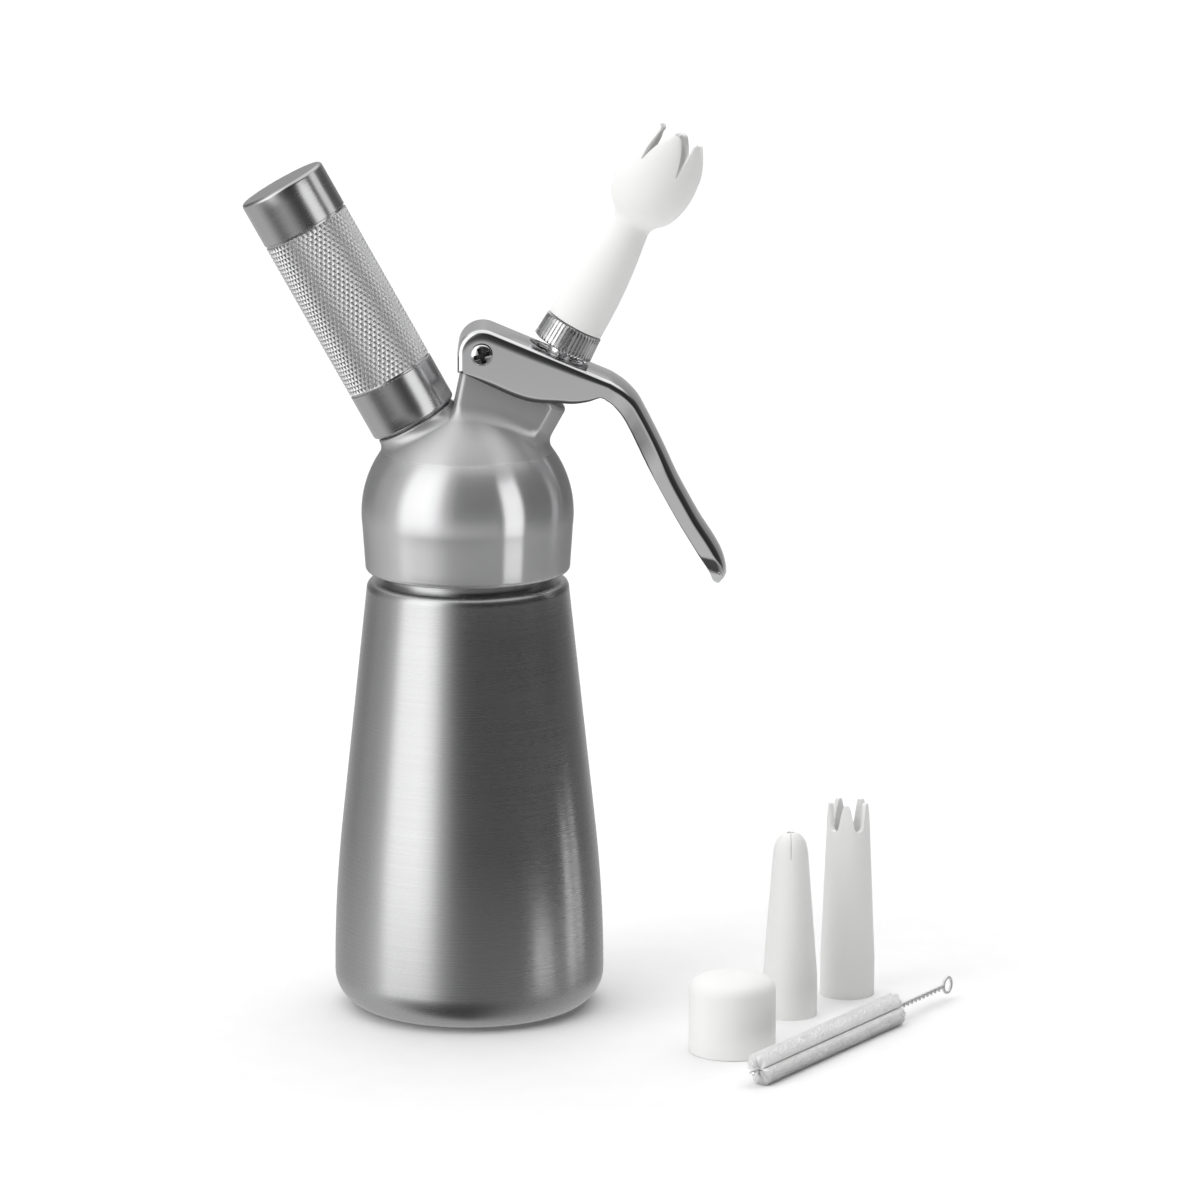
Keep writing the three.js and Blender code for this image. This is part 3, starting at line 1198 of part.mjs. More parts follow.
// Draws the charger's outline, moved in by inset.
function chargerOutline(inset) {
  const neckEnd = chargerTip + CHARGER_NECK_LENGTH;
  const shoulderEnd = neckEnd + CHARGER_SHOULDER;
  const radius = CHARGER_RADIUS - inset;
  const neck = CHARGER_NECK_RADIUS - inset;
  const roundStart = chargerEnd - CHARGER_RADIUS;
  const path = new THREE.Path();
  path.moveTo(0, chargerTip + inset);
  path.lineTo(neck, chargerTip + inset);
  path.lineTo(neck, neckEnd);
  path.bezierCurveTo(neck, neckEnd + CHARGER_SHOULDER / 2, radius, shoulderEnd - EDGE, radius, shoulderEnd);
  path.lineTo(radius, roundStart);
  path.absarc(0, roundStart, radius, 0, Math.PI / 2, false);
  return path;
}

// Steel capsule, shown pierced: the pin stands in the hole in its neck.
function makeCharger() {
  const hole = bar(CHARGER_HOLE, chargerTip - OVERRUN, chargerTip + CHARGER_WALL + OVERRUN);
  return solid(turned(chargerOutline(0), FACETS_SMALL))
    .subtract(solid(turned(chargerOutline(CHARGER_WALL), FACETS_SMALL, 1)))
    .subtract(solid(hole));
}

// Holder: plain bands with a groove each side of the middle, which carries the knurl.
function makeHolder() {
  const lowGroove = holderBottom + HOLDER_BOTTOM_BAND;
  const highGroove = holderTop - HOLDER_TOP_BAND;
  const path = new THREE.Path();
  path.moveTo(0, holderBottom);
  path.lineTo(holderRadius - EDGE, holderBottom);
  path.lineTo(holderRadius, holderBottom + EDGE);
  for (const groove of [lowGroove, highGroove]) {
    path.lineTo(holderRadius, groove - HOLDER_GROOVE_WIDTH / 2);
    path.lineTo(holderRadius - HOLDER_GROOVE_DEPTH, groove);
    path.lineTo(holderRadius, groove + HOLDER_GROOVE_WIDTH / 2);
  }
  path.lineTo(holderRadius, holderTop - EDGE);
  path.lineTo(holderRadius - EDGE, holderTop);
  path.lineTo(0, holderTop);
  const mouth = holderBottom - OVERRUN;
  const threadBore = bar(stubRadius + CLEARANCE, mouth, stubTop + OVERRUN / 2, FACETS_MEDIUM);
  const chargerBore = CHARGER_RADIUS + HOLDER_BORE_SLACK;
  const hollow = bar(chargerBore, mouth, holderTop - HOLDER_TOP_WALL);
  return solid(turned(path, FACETS_MEDIUM)).subtract(solid(threadBore)).subtract(solid(hollow));
}

// Cleaning brush, along +X from its tip

const bristleEnd = BRISTLE_START + BRISTLE_LENGTH;

// Two wires twisted together: a two-lobed section that turns along the brush.
function twistedWire(start, end) {
  const corners = 6;
  const section = [];
  for (let i = 0; i < corners; i += 1) {
    const angle = (2 * Math.PI * i) / corners;
    const radius = WIRE_RADIUS * (1 + Math.abs(Math.cos(angle)));
    section.push(new THREE.Vector2(radius * Math.cos(angle), radius * Math.sin(angle)));
  }
  const steps = Math.ceil((5 * (end - start)) / WIRE_TWIST_PITCH);
  const rings = [];
  for (let i = 0; i <= steps; i += 1) {
    const x = THREE.MathUtils.lerp(start, end, i / steps);
    const turn = (2 * Math.PI * (x - start)) / WIRE_TWIST_PITCH;
    rings.push(
      section.map((point) => {
        const turnedPoint = point.clone().rotateAround(new THREE.Vector2(), turn);
        return new THREE.Vector3(x, turnedPoint.x, turnedPoint.y);
      }),
    );
  }
  return solid(loft(rings, section));
}

function alongX(geometry) {
  return solid(geometry.rotateY(Math.PI / 2));
}

function makeBrushWire() {
  const overlap = WIRE_RADIUS;
  const loop = new THREE.TorusGeometry(WIRE_LOOP_RADIUS, WIRE_RADIUS, 6, 18);
  loop.rotateX(Math.PI / 2).translate(BRUSH_LENGTH + WIRE_LOOP_RADIUS, 0, 0);
  return twistedWire(0, BRISTLE_START - CLEARANCE)
    .add(alongX(bar(BRISTLE_CORE - BRISTLE_CORE_WALL - CLEARANCE, overlap, bristleEnd + overlap, 6)))
    .add(twistedWire(bristleEnd + CLEARANCE, BRUSH_LENGTH + overlap))
    .add(solid(loop));
}

// Bristles: rows of thin three-sided strands round a core, each row turned from the last.
function makeBristles(axisHeight) {
  const core = ring(
    BRISTLE_CORE - BRISTLE_CORE_WALL,
    BRISTLE_CORE,
    BRISTLE_START,
    bristleEnd,
    BRISTLES_PER_ROW,
  );
  const strands = [alongX(core)];
  const rowPitch = BRISTLE_LENGTH / BRISTLE_ROWS;
  const foot = BRISTLE_CORE - BRISTLE_CORE_WALL;
  const length = BRISTLE_RADIUS - foot;
  for (let row = 0; row < BRISTLE_ROWS; row += 1) {
    for (let i = 0; i < BRISTLES_PER_ROW; i += 1) {
      const strand = new THREE.ConeGeometry(BRISTLE_ROOT, length, 3);
      const turn = (2 * Math.PI * (i + 0.5)) / BRISTLES_PER_ROW;
      const shift = rowPitch * (row + (i + 0.5) / BRISTLES_PER_ROW);
      strand.translate(0, foot + length / 2, 0).rotateX(turn);
      strand.translate(BRISTLE_START + shift, 0, 0);
      strands.push(solid(strand));
    }
  }
  const table = new THREE.BoxGeometry(2 * BRUSH_LENGTH, 4 * BRISTLE_RADIUS, 4 * BRISTLE_RADIUS);
  table.translate(BRUSH_LENGTH / 2, 0, 2 * BRISTLE_RADIUS - axisHeight);
  return wasm.Manifold.union(strands).intersect(solid(table));
}

// Assembly

const dispenser = new THREE.Group();

addPiece(dispenser, 'bottle', makeBottle(), materials.bottle);
const gasketBottom = neckTop + CLEARANCE;
const gasket = ring(
  neckBore,
  neckRadius,
  gasketBottom,
  gasketBottom + GASKET_THICKNESS,
  FACETS_MEDIUM,
);
addPiece(dispenser, 'head_gasket', gasket, materials.silicone);
addPiece(dispenser, 'head_casting', makeHeadCasting(), materials.head);

const valve = framedGroup(valveFrame);
addPiece(valve, 'valve_bushing', makeBushing(), materials.brass);
addPiece(valve, 'stem_o_ring', makeStemSeal(), materials.rubber);
addPiece(valve, 'valve_spring', makeSpring(), materials.steel);
addPiece(valve, 'valve_stem', makeStem(), materials.chrome);
const sealBore = STEM_RADIUS + CLEARANCE;
addPiece(
  valve,
  'valve_seal',
  ring(sealBore, SEAL_RADIUS, sealTop - SEAL_THICKNESS, sealTop),
  materials.rubber,
);
addPiece(valve, 'stem_nut', makeNut(), materials.brass);
addPiece(valve, 'nozzle_collar', makeCollar(), materials.steel);
addPiece(valve, 'nozzle_washer', makeNozzleWasher(), materials.silicone);
addPiece(valve, 'tulip_nozzle', makeTulipNozzle(), materials.plastic);
dispenser.add(valve);

const pivot = new THREE.Group();
pivot.position.set(pivotPoint.x, 0, pivotPoint.z);
addPiece(pivot, 'pivot_screw', makePivotScrew(), materials.chrome);
addPiece(pivot, 'pivot_sleeve', makePivotSleeve(), materials.chrome);
dispenser.add(pivot);

const leverGroup = framedGroup(leverFrame);
addPiece(leverGroup, 'lever', makeLever(), materials.chrome);
dispenser.add(leverGroup);

const port = framedGroup(portFrame);
addPiece(port, 'piercer_body', makePiercerBody(), materials.brass);
addPiece(port, 'piercing_pin', makePin(), materials.steel);
addPiece(port, 'check_valve', makeCheckValve(), materials.rubber);
addPiece(port, 'charger_gasket', makeChargerSeal(), materials.rubber);
addPiece(port, 'gas_charger', makeCharger(), materials.steel);
addPiece(port, 'charger_holder', makeHolder(), materials.holder);
dispenser.add(port);

addPiece(dispenser, 'closing_cap', makeCap(), materials.plastic).position.set(
  CAP_PLACE.x,
  CAP_PLACE.y,
  0,
);
addPiece(dispenser, 'star_nozzle', makeStarNozzle(), materials.plastic).position.set(
  STAR_PLACE.x,
  STAR_PLACE.y,
  0,
);
addPiece(dispenser, 'crown_nozzle', makeCrownNozzle(), materials.plastic).position.set(
  CROWN_PLACE.x,
  CROWN_PLACE.y,
  0,
);

const brush = new THREE.Group();
const brushAxisHeight = BRISTLE_RADIUS - BRISTLE_FLAT;
brush.position.set(BRUSH_PLACE.x, BRUSH_PLACE.y, brushAxisHeight);
brush.rotation.z = radians(BRUSH_TURN);
addPiece(brush, 'brush_wire', makeBrushWire(), materials.steel);
addPiece(brush, 'brush_bristles', makeBristles(brushAxisHeight), materials.plastic);
dispenser.add(brush);

export default dispenser;
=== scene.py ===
"""Whipped cream dispenser: detailed surfaces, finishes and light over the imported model."""
import math

import bmesh
import bpy
import numpy as np
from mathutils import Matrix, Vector


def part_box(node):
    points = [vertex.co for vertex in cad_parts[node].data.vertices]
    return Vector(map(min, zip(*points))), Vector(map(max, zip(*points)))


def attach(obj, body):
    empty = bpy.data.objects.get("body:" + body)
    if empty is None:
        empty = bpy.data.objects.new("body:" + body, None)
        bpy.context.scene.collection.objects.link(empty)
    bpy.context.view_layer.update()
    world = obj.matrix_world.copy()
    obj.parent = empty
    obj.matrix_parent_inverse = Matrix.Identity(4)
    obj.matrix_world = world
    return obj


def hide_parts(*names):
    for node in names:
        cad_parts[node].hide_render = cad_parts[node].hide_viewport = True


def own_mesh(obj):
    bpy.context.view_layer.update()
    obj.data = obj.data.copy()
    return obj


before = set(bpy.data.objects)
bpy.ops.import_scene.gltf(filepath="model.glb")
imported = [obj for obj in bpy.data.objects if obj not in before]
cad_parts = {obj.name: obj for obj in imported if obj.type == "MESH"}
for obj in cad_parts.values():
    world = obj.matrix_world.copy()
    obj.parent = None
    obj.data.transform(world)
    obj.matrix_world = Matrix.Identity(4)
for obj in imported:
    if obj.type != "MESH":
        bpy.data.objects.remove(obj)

bl_info = {
    "name": "Whipped Cream Dispenser",
    "version": (1, 0, 0),
    "blender": (4, 5, 0),
    "location": "View3D > Sidebar > Dispenser",
    "description": "Builds the detailed pieces of the dispenser over its fixed frame",
    "category": "Object",
}

MM = 0.001
FIT_GAP = 0.3 * MM  # between pieces that pass through, or seat on, each other
# Facets once round a turned piece, by its size
LARGE_ROUND, HOLDER_ROUND, BOSS_ROUND, STEM_ROUND, PIN_ROUND = 168, 144, 120, 96, 72
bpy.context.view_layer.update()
BOTTLE_LOW, BOTTLE_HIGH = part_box("bottle")
CAP_LOW, CAP_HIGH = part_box("closing_cap")
STAR_LOW, STAR_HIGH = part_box("star_nozzle")
CROWN_LOW, CROWN_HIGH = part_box("crown_nozzle")

# The lever's web past its flat part and the cheeks' lower edge, as shares of reach and drop
WEB_LINE_SHARES = np.array([
    (0.416, 0), (0.463, 0.019), (0.512, 0.061), (0.552, 0.123), (0.601, 0.207), (0.659, 0.311),
    (0.728, 0.442), (0.786, 0.539), (0.85, 0.642), (0.918, 0.737), (0.962, 0.81), (0.9935, 0.893),
    (1, 0.94), (0.992, 1),
])
LOWER_EDGE_SHARES = np.array([
    (0.055, 0.332), (0.155, 0.336), (0.218, 0.318), (0.287, 0.264), (0.333, 0.229), (0.375, 0.176),
    (0.404, 0.124), (0.425, 0.128), (0.447, 0.137), (0.491, 0.184), (0.539, 0.263), (0.642, 0.452),
    (0.775, 0.672), (0.88, 0.83), (0.945, 0.925), (0.972, 0.985),
])
# The tulip nozzle's outline: heights as shares of its length, radii from neck to base, neck to
# bulb and tip to bulb
TULIP_BODY_SHARES = np.array([
    (0, 1), (0.1, 1), (0.22, 0.88), (0.32, 0.66), (0.41, 0.38), (0.49, 0.08), (0.535, 0),
])
TULIP_BULB_SHARES = np.array([
    (0.565, 0.16), (0.6, 0.52), (0.64, 0.76), (0.7, 0.94), (0.76, 1), (0.82, 0.96),
])
TULIP_TIP_SHARES = np.array([(0.88, 0.8), (0.94, 0.46), (1, 0)])
# Rows just above the root of a slit, so that its round end is smooth
ROOT_STEPS = np.array([0.0, 0.02, 0.08, 0.18, 0.32, 0.5, 0.75, 1.1, 1.5]) * MM

# Metals without a grain: colour setting, roughness, strength of the marks and satin share
PLAIN_METALS = {
    "polished_metal": ("polished", 0.11, 0.3, 0.0),
    "smooth_steel": ("polished", 0.2, 0.3, 0.0),
    "satin_wire": ("polished", 0.3, 0.3, 0.4),
    "plain_steel": ("steel", 0.26, 0.3, 0.0),
    "bright_steel": ("collar", 0.25, 0.3, 0.0),
    # The knurl: lighter than the holder's own aluminium, painted brightness for the light its
    # facets catch
    "knurl_aluminium_painted_lighter": ("knurl", 0.46, 0.3, 0.0),
    # Colour inside the screw's cross recess: painted shade of the deep cross, partly dark oxide
    "recess_shade_and_oxide": ("recess", 0.5, 0.3, 0.0),
    "brass": ("brass", 0.28, 0.4, 0.0),
}
# Moulded materials: colour setting, roughness and the share of light that passes below the skin
MOULDINGS = {
    "white_plastic": ("plastic", 0.42, 0.25),
    "white_bristles": ("bristles", 0.5, 0.0),
    "black_rubber": ("rubber", 0.65, 0.0),
    "pale_silicone": ("silicone", 0.55, 0.0),
}
# Grain (across, along, spread, depth) of metals that have none: even, and without a height
NO_GRAIN = (900.0, 900.0, 0.06, 0.0)
MARKS_IN_ROUGHNESS = 0.12  # change of roughness over the whole range of the handling marks

# Half the studio's brightness by azimuth in degrees, 0 towards the camera and minus to its left:
# the walls, the floor near the horizon and the floor below it
WALL_LIGHT = (
    (-180, 0.24), (-158, 0.16), (-142, 0.08), (-128, 0.08), (-116, 0.16), (-100, 0.2), (-84, 0.34),
    (-73, 0.88), (-46, 0.96), (-35, 0.78), (-24, 0.28), (-12, 0.06), (0, 0.02), (20, 0.015),
    (50, 0.015), (68, 0.02), (84, 0.02), (104, 0.03), (140, 0.06), (160, 0.16), (180, 0.24),
)
FLOOR_LIGHT = (
    (-180, 0.3), (-150, 0.26), (-117, 0.26), (-99, 0.32), (-84, 0.5), (-73, 0.85), (-46, 0.9),
    (-35, 0.76), (-24, 0.46), (-12, 0.33), (0, 0.29), (20, 0.25), (45, 0.2), (60, 0.17),
    (75, 0.17), (92, 0.12), (106, 0.1), (135, 0.13), (160, 0.24), (180, 0.3),
)
DEEP_LIGHT = (
    (-180, 0.3), (-130, 0.3), (-95, 0.32), (-75, 0.24), (-60, 0.1), (-46, 0.045), (-20, 0.03),
    (10, 0.04), (40, 0.1), (90, 0.2), (130, 0.26), (180, 0.3),
)
CEILING_LIGHT = 0.52
STUDIO_STRENGTH = 2.0  # turns those halves into brightness
BACKWARD_LEAN = 15  # degrees by which the ceiling's light leans to the back
# Heights, as parts of the unit sphere, between which one zone turns into the next
DEEP_TO_FLOOR, FLOOR_TO_WALL, WALL_TO_CEILING = (-0.36, -0.24), (-0.2, -0.1), (0.5, 0.82)

# Area lights: name, place, target, width and height in metres, watts, pieces lit (none for all)
ABOVE_BOTTLE = (0, 0, 0.17)
HOLDER_PIECES = ("charger_holder_body", "charger_holder_knurl")
SOFTBOXES = (
    ("overhead", (0, 0.9, 4), (0, 0.9, 0), 8, 8, 146, ()),
    ("left_softbox", (-0.9, -0.5, 0.8), (0.02, 0, 0.12), 0.6, 0.6, 0.8, ()),
    ("strip", (0.775, -0.6, 0.3), ABOVE_BOTTLE, 0.4, 1.1, 2.2, ("head_shell",)),
    ("panel", (0.04, -0.49, 0.066), (0.04, 0, 0.17), 0.6, 0.12, 0.057, ("head_shell",)),
    ("side_strip", (0.76, -0.64, 0.3), ABOVE_BOTTLE, 0.55, 0.9, 2.2, HOLDER_PIECES),
    ("edge_strip", (0.95, 0.05, 0.48), ABOVE_BOTTLE, 0.4, 0.9, 1.2, HOLDER_PIECES),
)


# Settings

def length(label, text, millimetres):
    """A length property, given in millimetres and stored in metres."""
    return bpy.props.FloatProperty(
        name=label, description=text, default=millimetres * MM, min=0.0, unit="LENGTH",
        precision=5)


def turn(label, text, degrees):
    """An angle property, given in degrees."""
    return bpy.props.FloatProperty(
        name=label, description=text, default=math.radians(degrees), subtype="ANGLE")


def count(label, text, number):
    """A whole number of like parts."""
    return bpy.props.IntProperty(name=label, description=text, default=number, min=1)


def colour(label, text, red, green, blue):
    """A colour property without alpha."""
    return bpy.props.FloatVectorProperty(
        name=label, description=text, default=(red, green, blue), size=3, min=0.0, max=1.0,
        subtype="COLOR")


def share(label, text, value):
    """A number from nought to one."""
    return bpy.props.FloatProperty(
        name=label, description=text, default=value, min=0.0, max=1.0, subtype="FACTOR")


class BottleSizes(bpy.types.PropertyGroup):
    radius: length("Radius", "Widest radius of the bottle", BOTTLE_HIGH.x / MM)
    height: length("Shoulder height", "From the table to the shoulder", 122)
    base_corner: length("Base corner", "Radius of the round corner at the base", 10)
    curve_height: length("Curve height", "Stretch where the wall starts to lean in", 42)
    top_radius: length("Top radius", "Radius of the wall at the shoulder", 28.35)
    shoulder: length("Shoulder rounding", "Rounding of the shoulder", 3)
    wall: length("Wall", "Thickness of the wall", 1.5)
    floor: length("Floor", "Thickness of the floor", 2)
    neck_radius: length("Neck radius", "Outer radius of the neck", 23.7)
    neck_wall: length("Neck wall", "Thickness of the neck", 2.6)


class HeadSizes(bpy.types.PropertyGroup):
    ball_radius: length("Ball radius", "Radius of the head's ball", 29.6)
    ball_height: length("Ball height", "Height of the ball's centre", 141)
    tilt: turn("Axis tilt", "Lean of the valve and of the gas port", 29)
    valve_offset: length("Valve offset", "Valve axis from the ball's centre", 0.6)
    rim_height: length("Rim height", "Height of the skirt's rim", 124.5)
    rim_radius: length("Rim radius", "Radius of the skirt's rim", 28.6)
    rim_rounding: length("Rim rounding", "Rounding of the skirt's rim", 1.4)
    skirt_angle: turn("Skirt angle", "Where the skirt leaves the ball, below its equator", 6.8)
    thread_radius: length("Thread radius", "Radius of the threaded bore", 24)
    seat_height: length("Seat height", "Height of the gasket seat", 145.6)
    cavity_radius: length("Cavity radius", "Radius of the cavity above the seat", 18.5)
    cavity_step: length("Cavity step", "Straight part of the cavity", 4)
    cavity_crown: length("Cavity crown", "Thickness of the ball above the cavity", 15)
    cavity_top: length("Cavity top", "Radius of the cavity's flat top", 8)
    block_half_width: length("Block half width", "Half width of the valve block", 8.1)
    block_end_radius: length("Block end radius", "Radius of the block's round end", 9.3)
    block_top: length("Block top", "Top of the block along the valve axis", 39.2)
    block_rounding: length("Block rounding", "Rounding of the block's upper edge", 1.3)
    block_corner: length("Block corner", "Corner radius at the back", 2)
    back_reach: length("Back reach", "Back wall behind the lever's pivot", 6)
    back_lean: turn("Back lean", "Lean of the back wall", 12)
    step_drop: length("Step drop", "Step under the lever's hub, below the pivot", 5.8)
    end_fillet: length("End fillet", "Blend radius at the block's ends", 4)
    side_fillet: length("Side fillet", "Blend radius at the block's sides", 5.5)
    blend_sink: length("Blend sink", "Depth of the blend's foot in the ball", 1)
    lug_radius: length("Lug radius", "Radius of the lug round the pivot", 4.7)
    lug_rounding: length("Lug rounding", "Rounding of the lug's edges", 1)
    boss_radius: length("Boss radius", "Radius of the gas port's boss", 11.7)
    boss_top: length("Boss top", "Top of the boss along the port axis", 29.8)
    boss_fillet: length("Boss fillet", "Blend radius at the boss", 3)
    stub_radius: length("Stub radius", "Radius of the gas port's stub", 10.2)
    stub_top: length("Stub top", "Top of the stub along the port axis", 41)
    turned_height: length("Turned height", "Height where the turned surface ends", 158.5)
    socket_radius: length("Socket radius", "Radius of the gas port's socket", 5.2)
    socket_floor: length("Socket floor", "Floor of the socket along the port axis", 24.7)


class LeverSizes(bpy.types.PropertyGroup):
    pivot_rise: length("Pivot rise", "Pivot above the block's top, along the valve axis", 3.117)
    pivot_behind: length("Pivot behind", "Pivot behind the valve axis", 19.14)
    slope: turn("Slope", "Fall of the flat web towards the handle", 22.8)
    hub_radius: length("Hub radius", "Radius of the bent end over the pivot", 6.8)
    sheet: length("Sheet", "Thickness of the pressed sheet", 1.5)
    half_width: length("Half width", "Half width at the hub", 10)
    handle_half_width: length("Handle half width", "Half width of the handle", 8.3)
    corner: length("Corner", "Outer corner between web and cheek", 1.6)
    crown: length("Crown", "Height of the web's crown", 0.7)
    reach: length("Reach", "Pivot to tip, along the web", 86.4)
    drop: length("Drop", "Web to tip, square to the web", 42.2)
    end_wall: length("End wall", "Upright wall below the hub", 5.2)
    slot_length: length("Slot length", "Length of the hole for the stem", 17.5)
    slot_width: length("Slot width", "Width of the hole for the stem", 13)
    edge: length("Edge rounding", "Rounding of the sheet's cut edges", 0.28)
    screw_radius: length("Screw head radius", "Radius of the pivot screw's head", 3)
    screw_height: length("Screw head height", "Height of the pivot screw's head", 1.7)
    screw_shank: length("Screw shank", "Radius of the pivot screw", 1.3)
    screw_length: length("Screw length", "Length of the pivot screw", 13)
    recess_length: length("Recess length", "Length of the cross recess", 4.3)
    recess_width: length("Recess width", "Width of the cross recess", 1.1)
    recess_depth: length("Recess depth", "Depth of the cross recess", 1.2)
    recess_turn: turn("Recess turn", "Turn of the cross from upright", 20)
    sleeve_radius: length("Sleeve radius", "Radius of the barrel nut", 2.2)
    sleeve_flange: length("Sleeve flange", "Radius of the barrel nut's flange", 3.4)
    sleeve_thickness: length("Flange thickness", "Thickness of the barrel nut's flange", 1.4)
    clearance: length("Clearance", "Gap beside the cheeks", 0.3)


class ValveSizes(bpy.types.PropertyGroup):
    stem_radius: length("Stem radius", "Radius of the valve stem", 2.9)
    stem_bottom: length("Stem bottom", "Lower end along the valve axis", 17)
    stem_bore: length("Stem bore", "Radius of the stem's bore", 1.6)
    bore_bottom: length("Bore bottom", "Closed end of the bore", 26)
    stem_top: length("Stem top", "Upper end of the stem", 59.4)
    thread_radius: length("Thread radius", "Radius of the stem above its flange", 3.5)
    flange_radius: length("Flange radius", "Radius of the stem's flange", 7.5)
    flange_bottom: length("Flange bottom", "Underside of the flange", 46.4)
    flange_rim: length("Flange rim", "Straight height of the flange", 2.1)
    flange_dome: length("Flange dome", "Height of the flange's dome", 1.4)
    bushing_radius: length("Bushing radius", "Radius of the valve bushing", 5.6)
    bushing_bottom: length("Bushing bottom", "Lower end of the bushing", 24.2)
    bushing_top: length("Bushing top", "Upper end of the bushing", 38.9)
    well_radius: length("Well radius", "Radius of the head's well below the bushing", 7.3)
    well_bottom: length("Well bottom", "Lower end of the well along the valve axis", 8)
    pocket_radius: length("Pocket radius", "Radius of the spring pocket", 4.95)
    pocket_floor: length("Pocket floor", "Floor of the spring pocket", 30.2)
    spring_radius: length("Spring radius", "Radius of the spring's coil", 4.1)
    spring_wire: length("Spring wire", "Radius of the spring's wire", 0.45)
    spring_bottom: length("Spring bottom", "Lower end of the spring's path", 32.75)
    spring_turns: count("Spring turns", "Turns of the spring", 7)
    collar_bottom: length("Collar bottom", "Lower end of the collar", 53.4)
    collar_height: length("Collar height", "Height of the ribbed ring", 7.3)
    collar_low_radius: length("Collar low radius", "Mean radius at the collar's foot", 8.4)
    collar_high_radius: length("Collar high radius", "Mean radius at the collar's top", 7.95)
    collar_ribs: count("Collar ribs", "Ribs round the collar", 48)
    rib_depth: length("Rib depth", "Half of a rib's height", 0.35)
    spigot_radius: length("Spigot radius", "Radius of the threaded spigot", 5.6)
    spigot_length: length("Spigot length", "Length of the spigot", 7.4)
    spigot_bore: length("Spigot bore", "Radius of the spigot's bore", 2.6)


class HolderSizes(bpy.types.PropertyGroup):
    radius: length("Radius", "Radius of the charger holder", 12.5)
    bottom: length("Bottom", "Lower end along the port axis", 30.3)
    top: length("Top", "Upper end along the port axis", 105.6)
    bottom_band: length("Bottom band", "Length of the plain band at the foot", 14)
    top_band: length("Top band", "Length of the plain band at the top", 13.7)
    groove_width: length("Groove width", "Width of the turned grooves", 0.9)
    groove_depth: length("Groove depth", "Depth of the turned grooves", 0.35)
    edge: length("Edge", "Rounding of the ends", 1.05)
    bore: length("Bore", "Radius of the bore for the charger", 9.5)
    thread_bore: length("Thread bore", "Radius of the threaded bore", 10.5)
    thread_end: length("Thread end", "End of the threaded bore", 42)
    end_wall: length("End wall", "Thickness of the closed end", 4)
    starts: count("Knurl starts", "Grooves of the knurl, each way round", 55)
    rows: count("Knurl rows", "Rows of diamonds along the knurl", 37)
    knurl_depth: length("Knurl depth", "Depth of the knurl", 0.34)
    knurl_flat: share("Knurl flat", "Width of each diamond's flat top", 0.15)


class NozzleSizes(bpy.types.PropertyGroup):
    seat: length("Seat", "Foot of the fitted nozzle along the valve axis", 61)
    tulip_length: length("Tulip length", "Length of the fitted nozzle", 60.2)
    base_radius: length("Base radius", "Radius of its foot", 8.05)
    neck_radius: length("Neck radius", "Radius of its neck", 5.6)
    bulb_radius: length("Bulb radius", "Radius of its bulb", 11.3)
    tip_radius: length("Tip radius", "Radius of its tip", 7.1)
    petals: count("Petals", "Petals of the fitted nozzle", 6)
    petal_wall: length("Petal wall", "Wall of the nozzles", 1.3)
    slit_depth: length("Slit depth", "Depth of the slits between petals", 10)
    slit_width: length("Slit width", "Width of the slits at the tip", 3.6)
    slit_root: length("Slit root", "Width of the slits at the root", 0.5)
    petal_turn: turn("Petal turn", "First slit, from the front towards the lever", 20.5)
    cone_radius: length("Cone radius", "Foot radius of the loose nozzles", 7.7)
    cone_foot: length("Cone foot", "Straight foot under the taper", 10.5)
    star_height: length("Star height", "Height of the closed loose nozzle", STAR_HIGH.z / MM)
    star_shoulder: length("Star shoulder", "Radius at its shoulder", 4.9)
    star_dome: length("Star dome", "Height of its dome", 5.6)
    star_slits: count("Star slits", "Slits of the closed nozzle", 6)
    star_slit_width: length("Star slit width", "Width of its slits", 0.13)
    star_slit_depth: length("Star slit depth", "Depth of its slits", 7)
    star_hole: length("Star hole", "Radius of the hole in its dome", 1.1)
    crown_height: length("Crown height", "Height of the open loose nozzle", CROWN_HIGH.z / MM)
    crown_top: length("Crown top", "Radius at its top", 5.8)
    crown_teeth: count("Crown teeth", "Teeth of the open nozzle", 5)
    notch_depth: length("Notch depth", "Depth of the notches between teeth", 7.8)
    notch_width: length("Notch width", "Width of the notches at the top", 5)
    notch_root: length("Notch root", "Width of the notches at the root", 2.6)
    crown_turn: turn("Crown turn", "First notch, from the front towards the lever", 28.5)
    cap_radius: length("Cap radius", "Radius of the closing cap", 12)
    cap_height: length("Cap height", "Height of the closing cap", CAP_HIGH.z / MM)
    cap_corner: length("Cap corner", "Rounding of the cap's shoulder", 3.6)
    cap_shoulder: turn("Cap shoulder", "Where the shoulder meets the domed top", 60)
    cap_wall: length("Cap wall", "Wall of the cap", 1.3)
    cap_crown: length("Cap crown", "Rise of the cap's domed top", 1.7)


class BrushSizes(bpy.types.PropertyGroup):
    tip_x: length("Tip X", "Place of the brush's tip on the table", 77.8)
    tip_y: length("Tip Y", "Distance of the tip in front of the bottle's axis", 90)
    heading: turn("Heading", "Direction of the brush on the table", 57.6)
    length: length("Length", "Tip to the start of the loop", 105)
    axis_height: length("Axis height", "Height of the wire above the table", 4.2)
    wire_radius: length("Wire radius", "Radius of each of the two wires", 0.42)
    twist_pitch: length("Twist pitch", "Length of one turn of the twist", 4.4)
    loop_radius: length("Loop radius", "Radius of the end loop", 2.2)
    bristle_start: length("Bristle start", "Where the bristles begin", 3.6)
    bristle_length: length("Bristle length", "Length of the bristled part", 74)
    bristle_radius: length("Bristle radius", "Radius over the bristles", 4.7)
    fibre_radius: length("Fibre radius", "Radius of one bristle at its root", 0.11)
    fibres: count("Fibres", "Number of bristles", 12000)
    lobe_angle: turn("Lobe angle", "Direction of the bristles' upper lobe round the wire", 68)


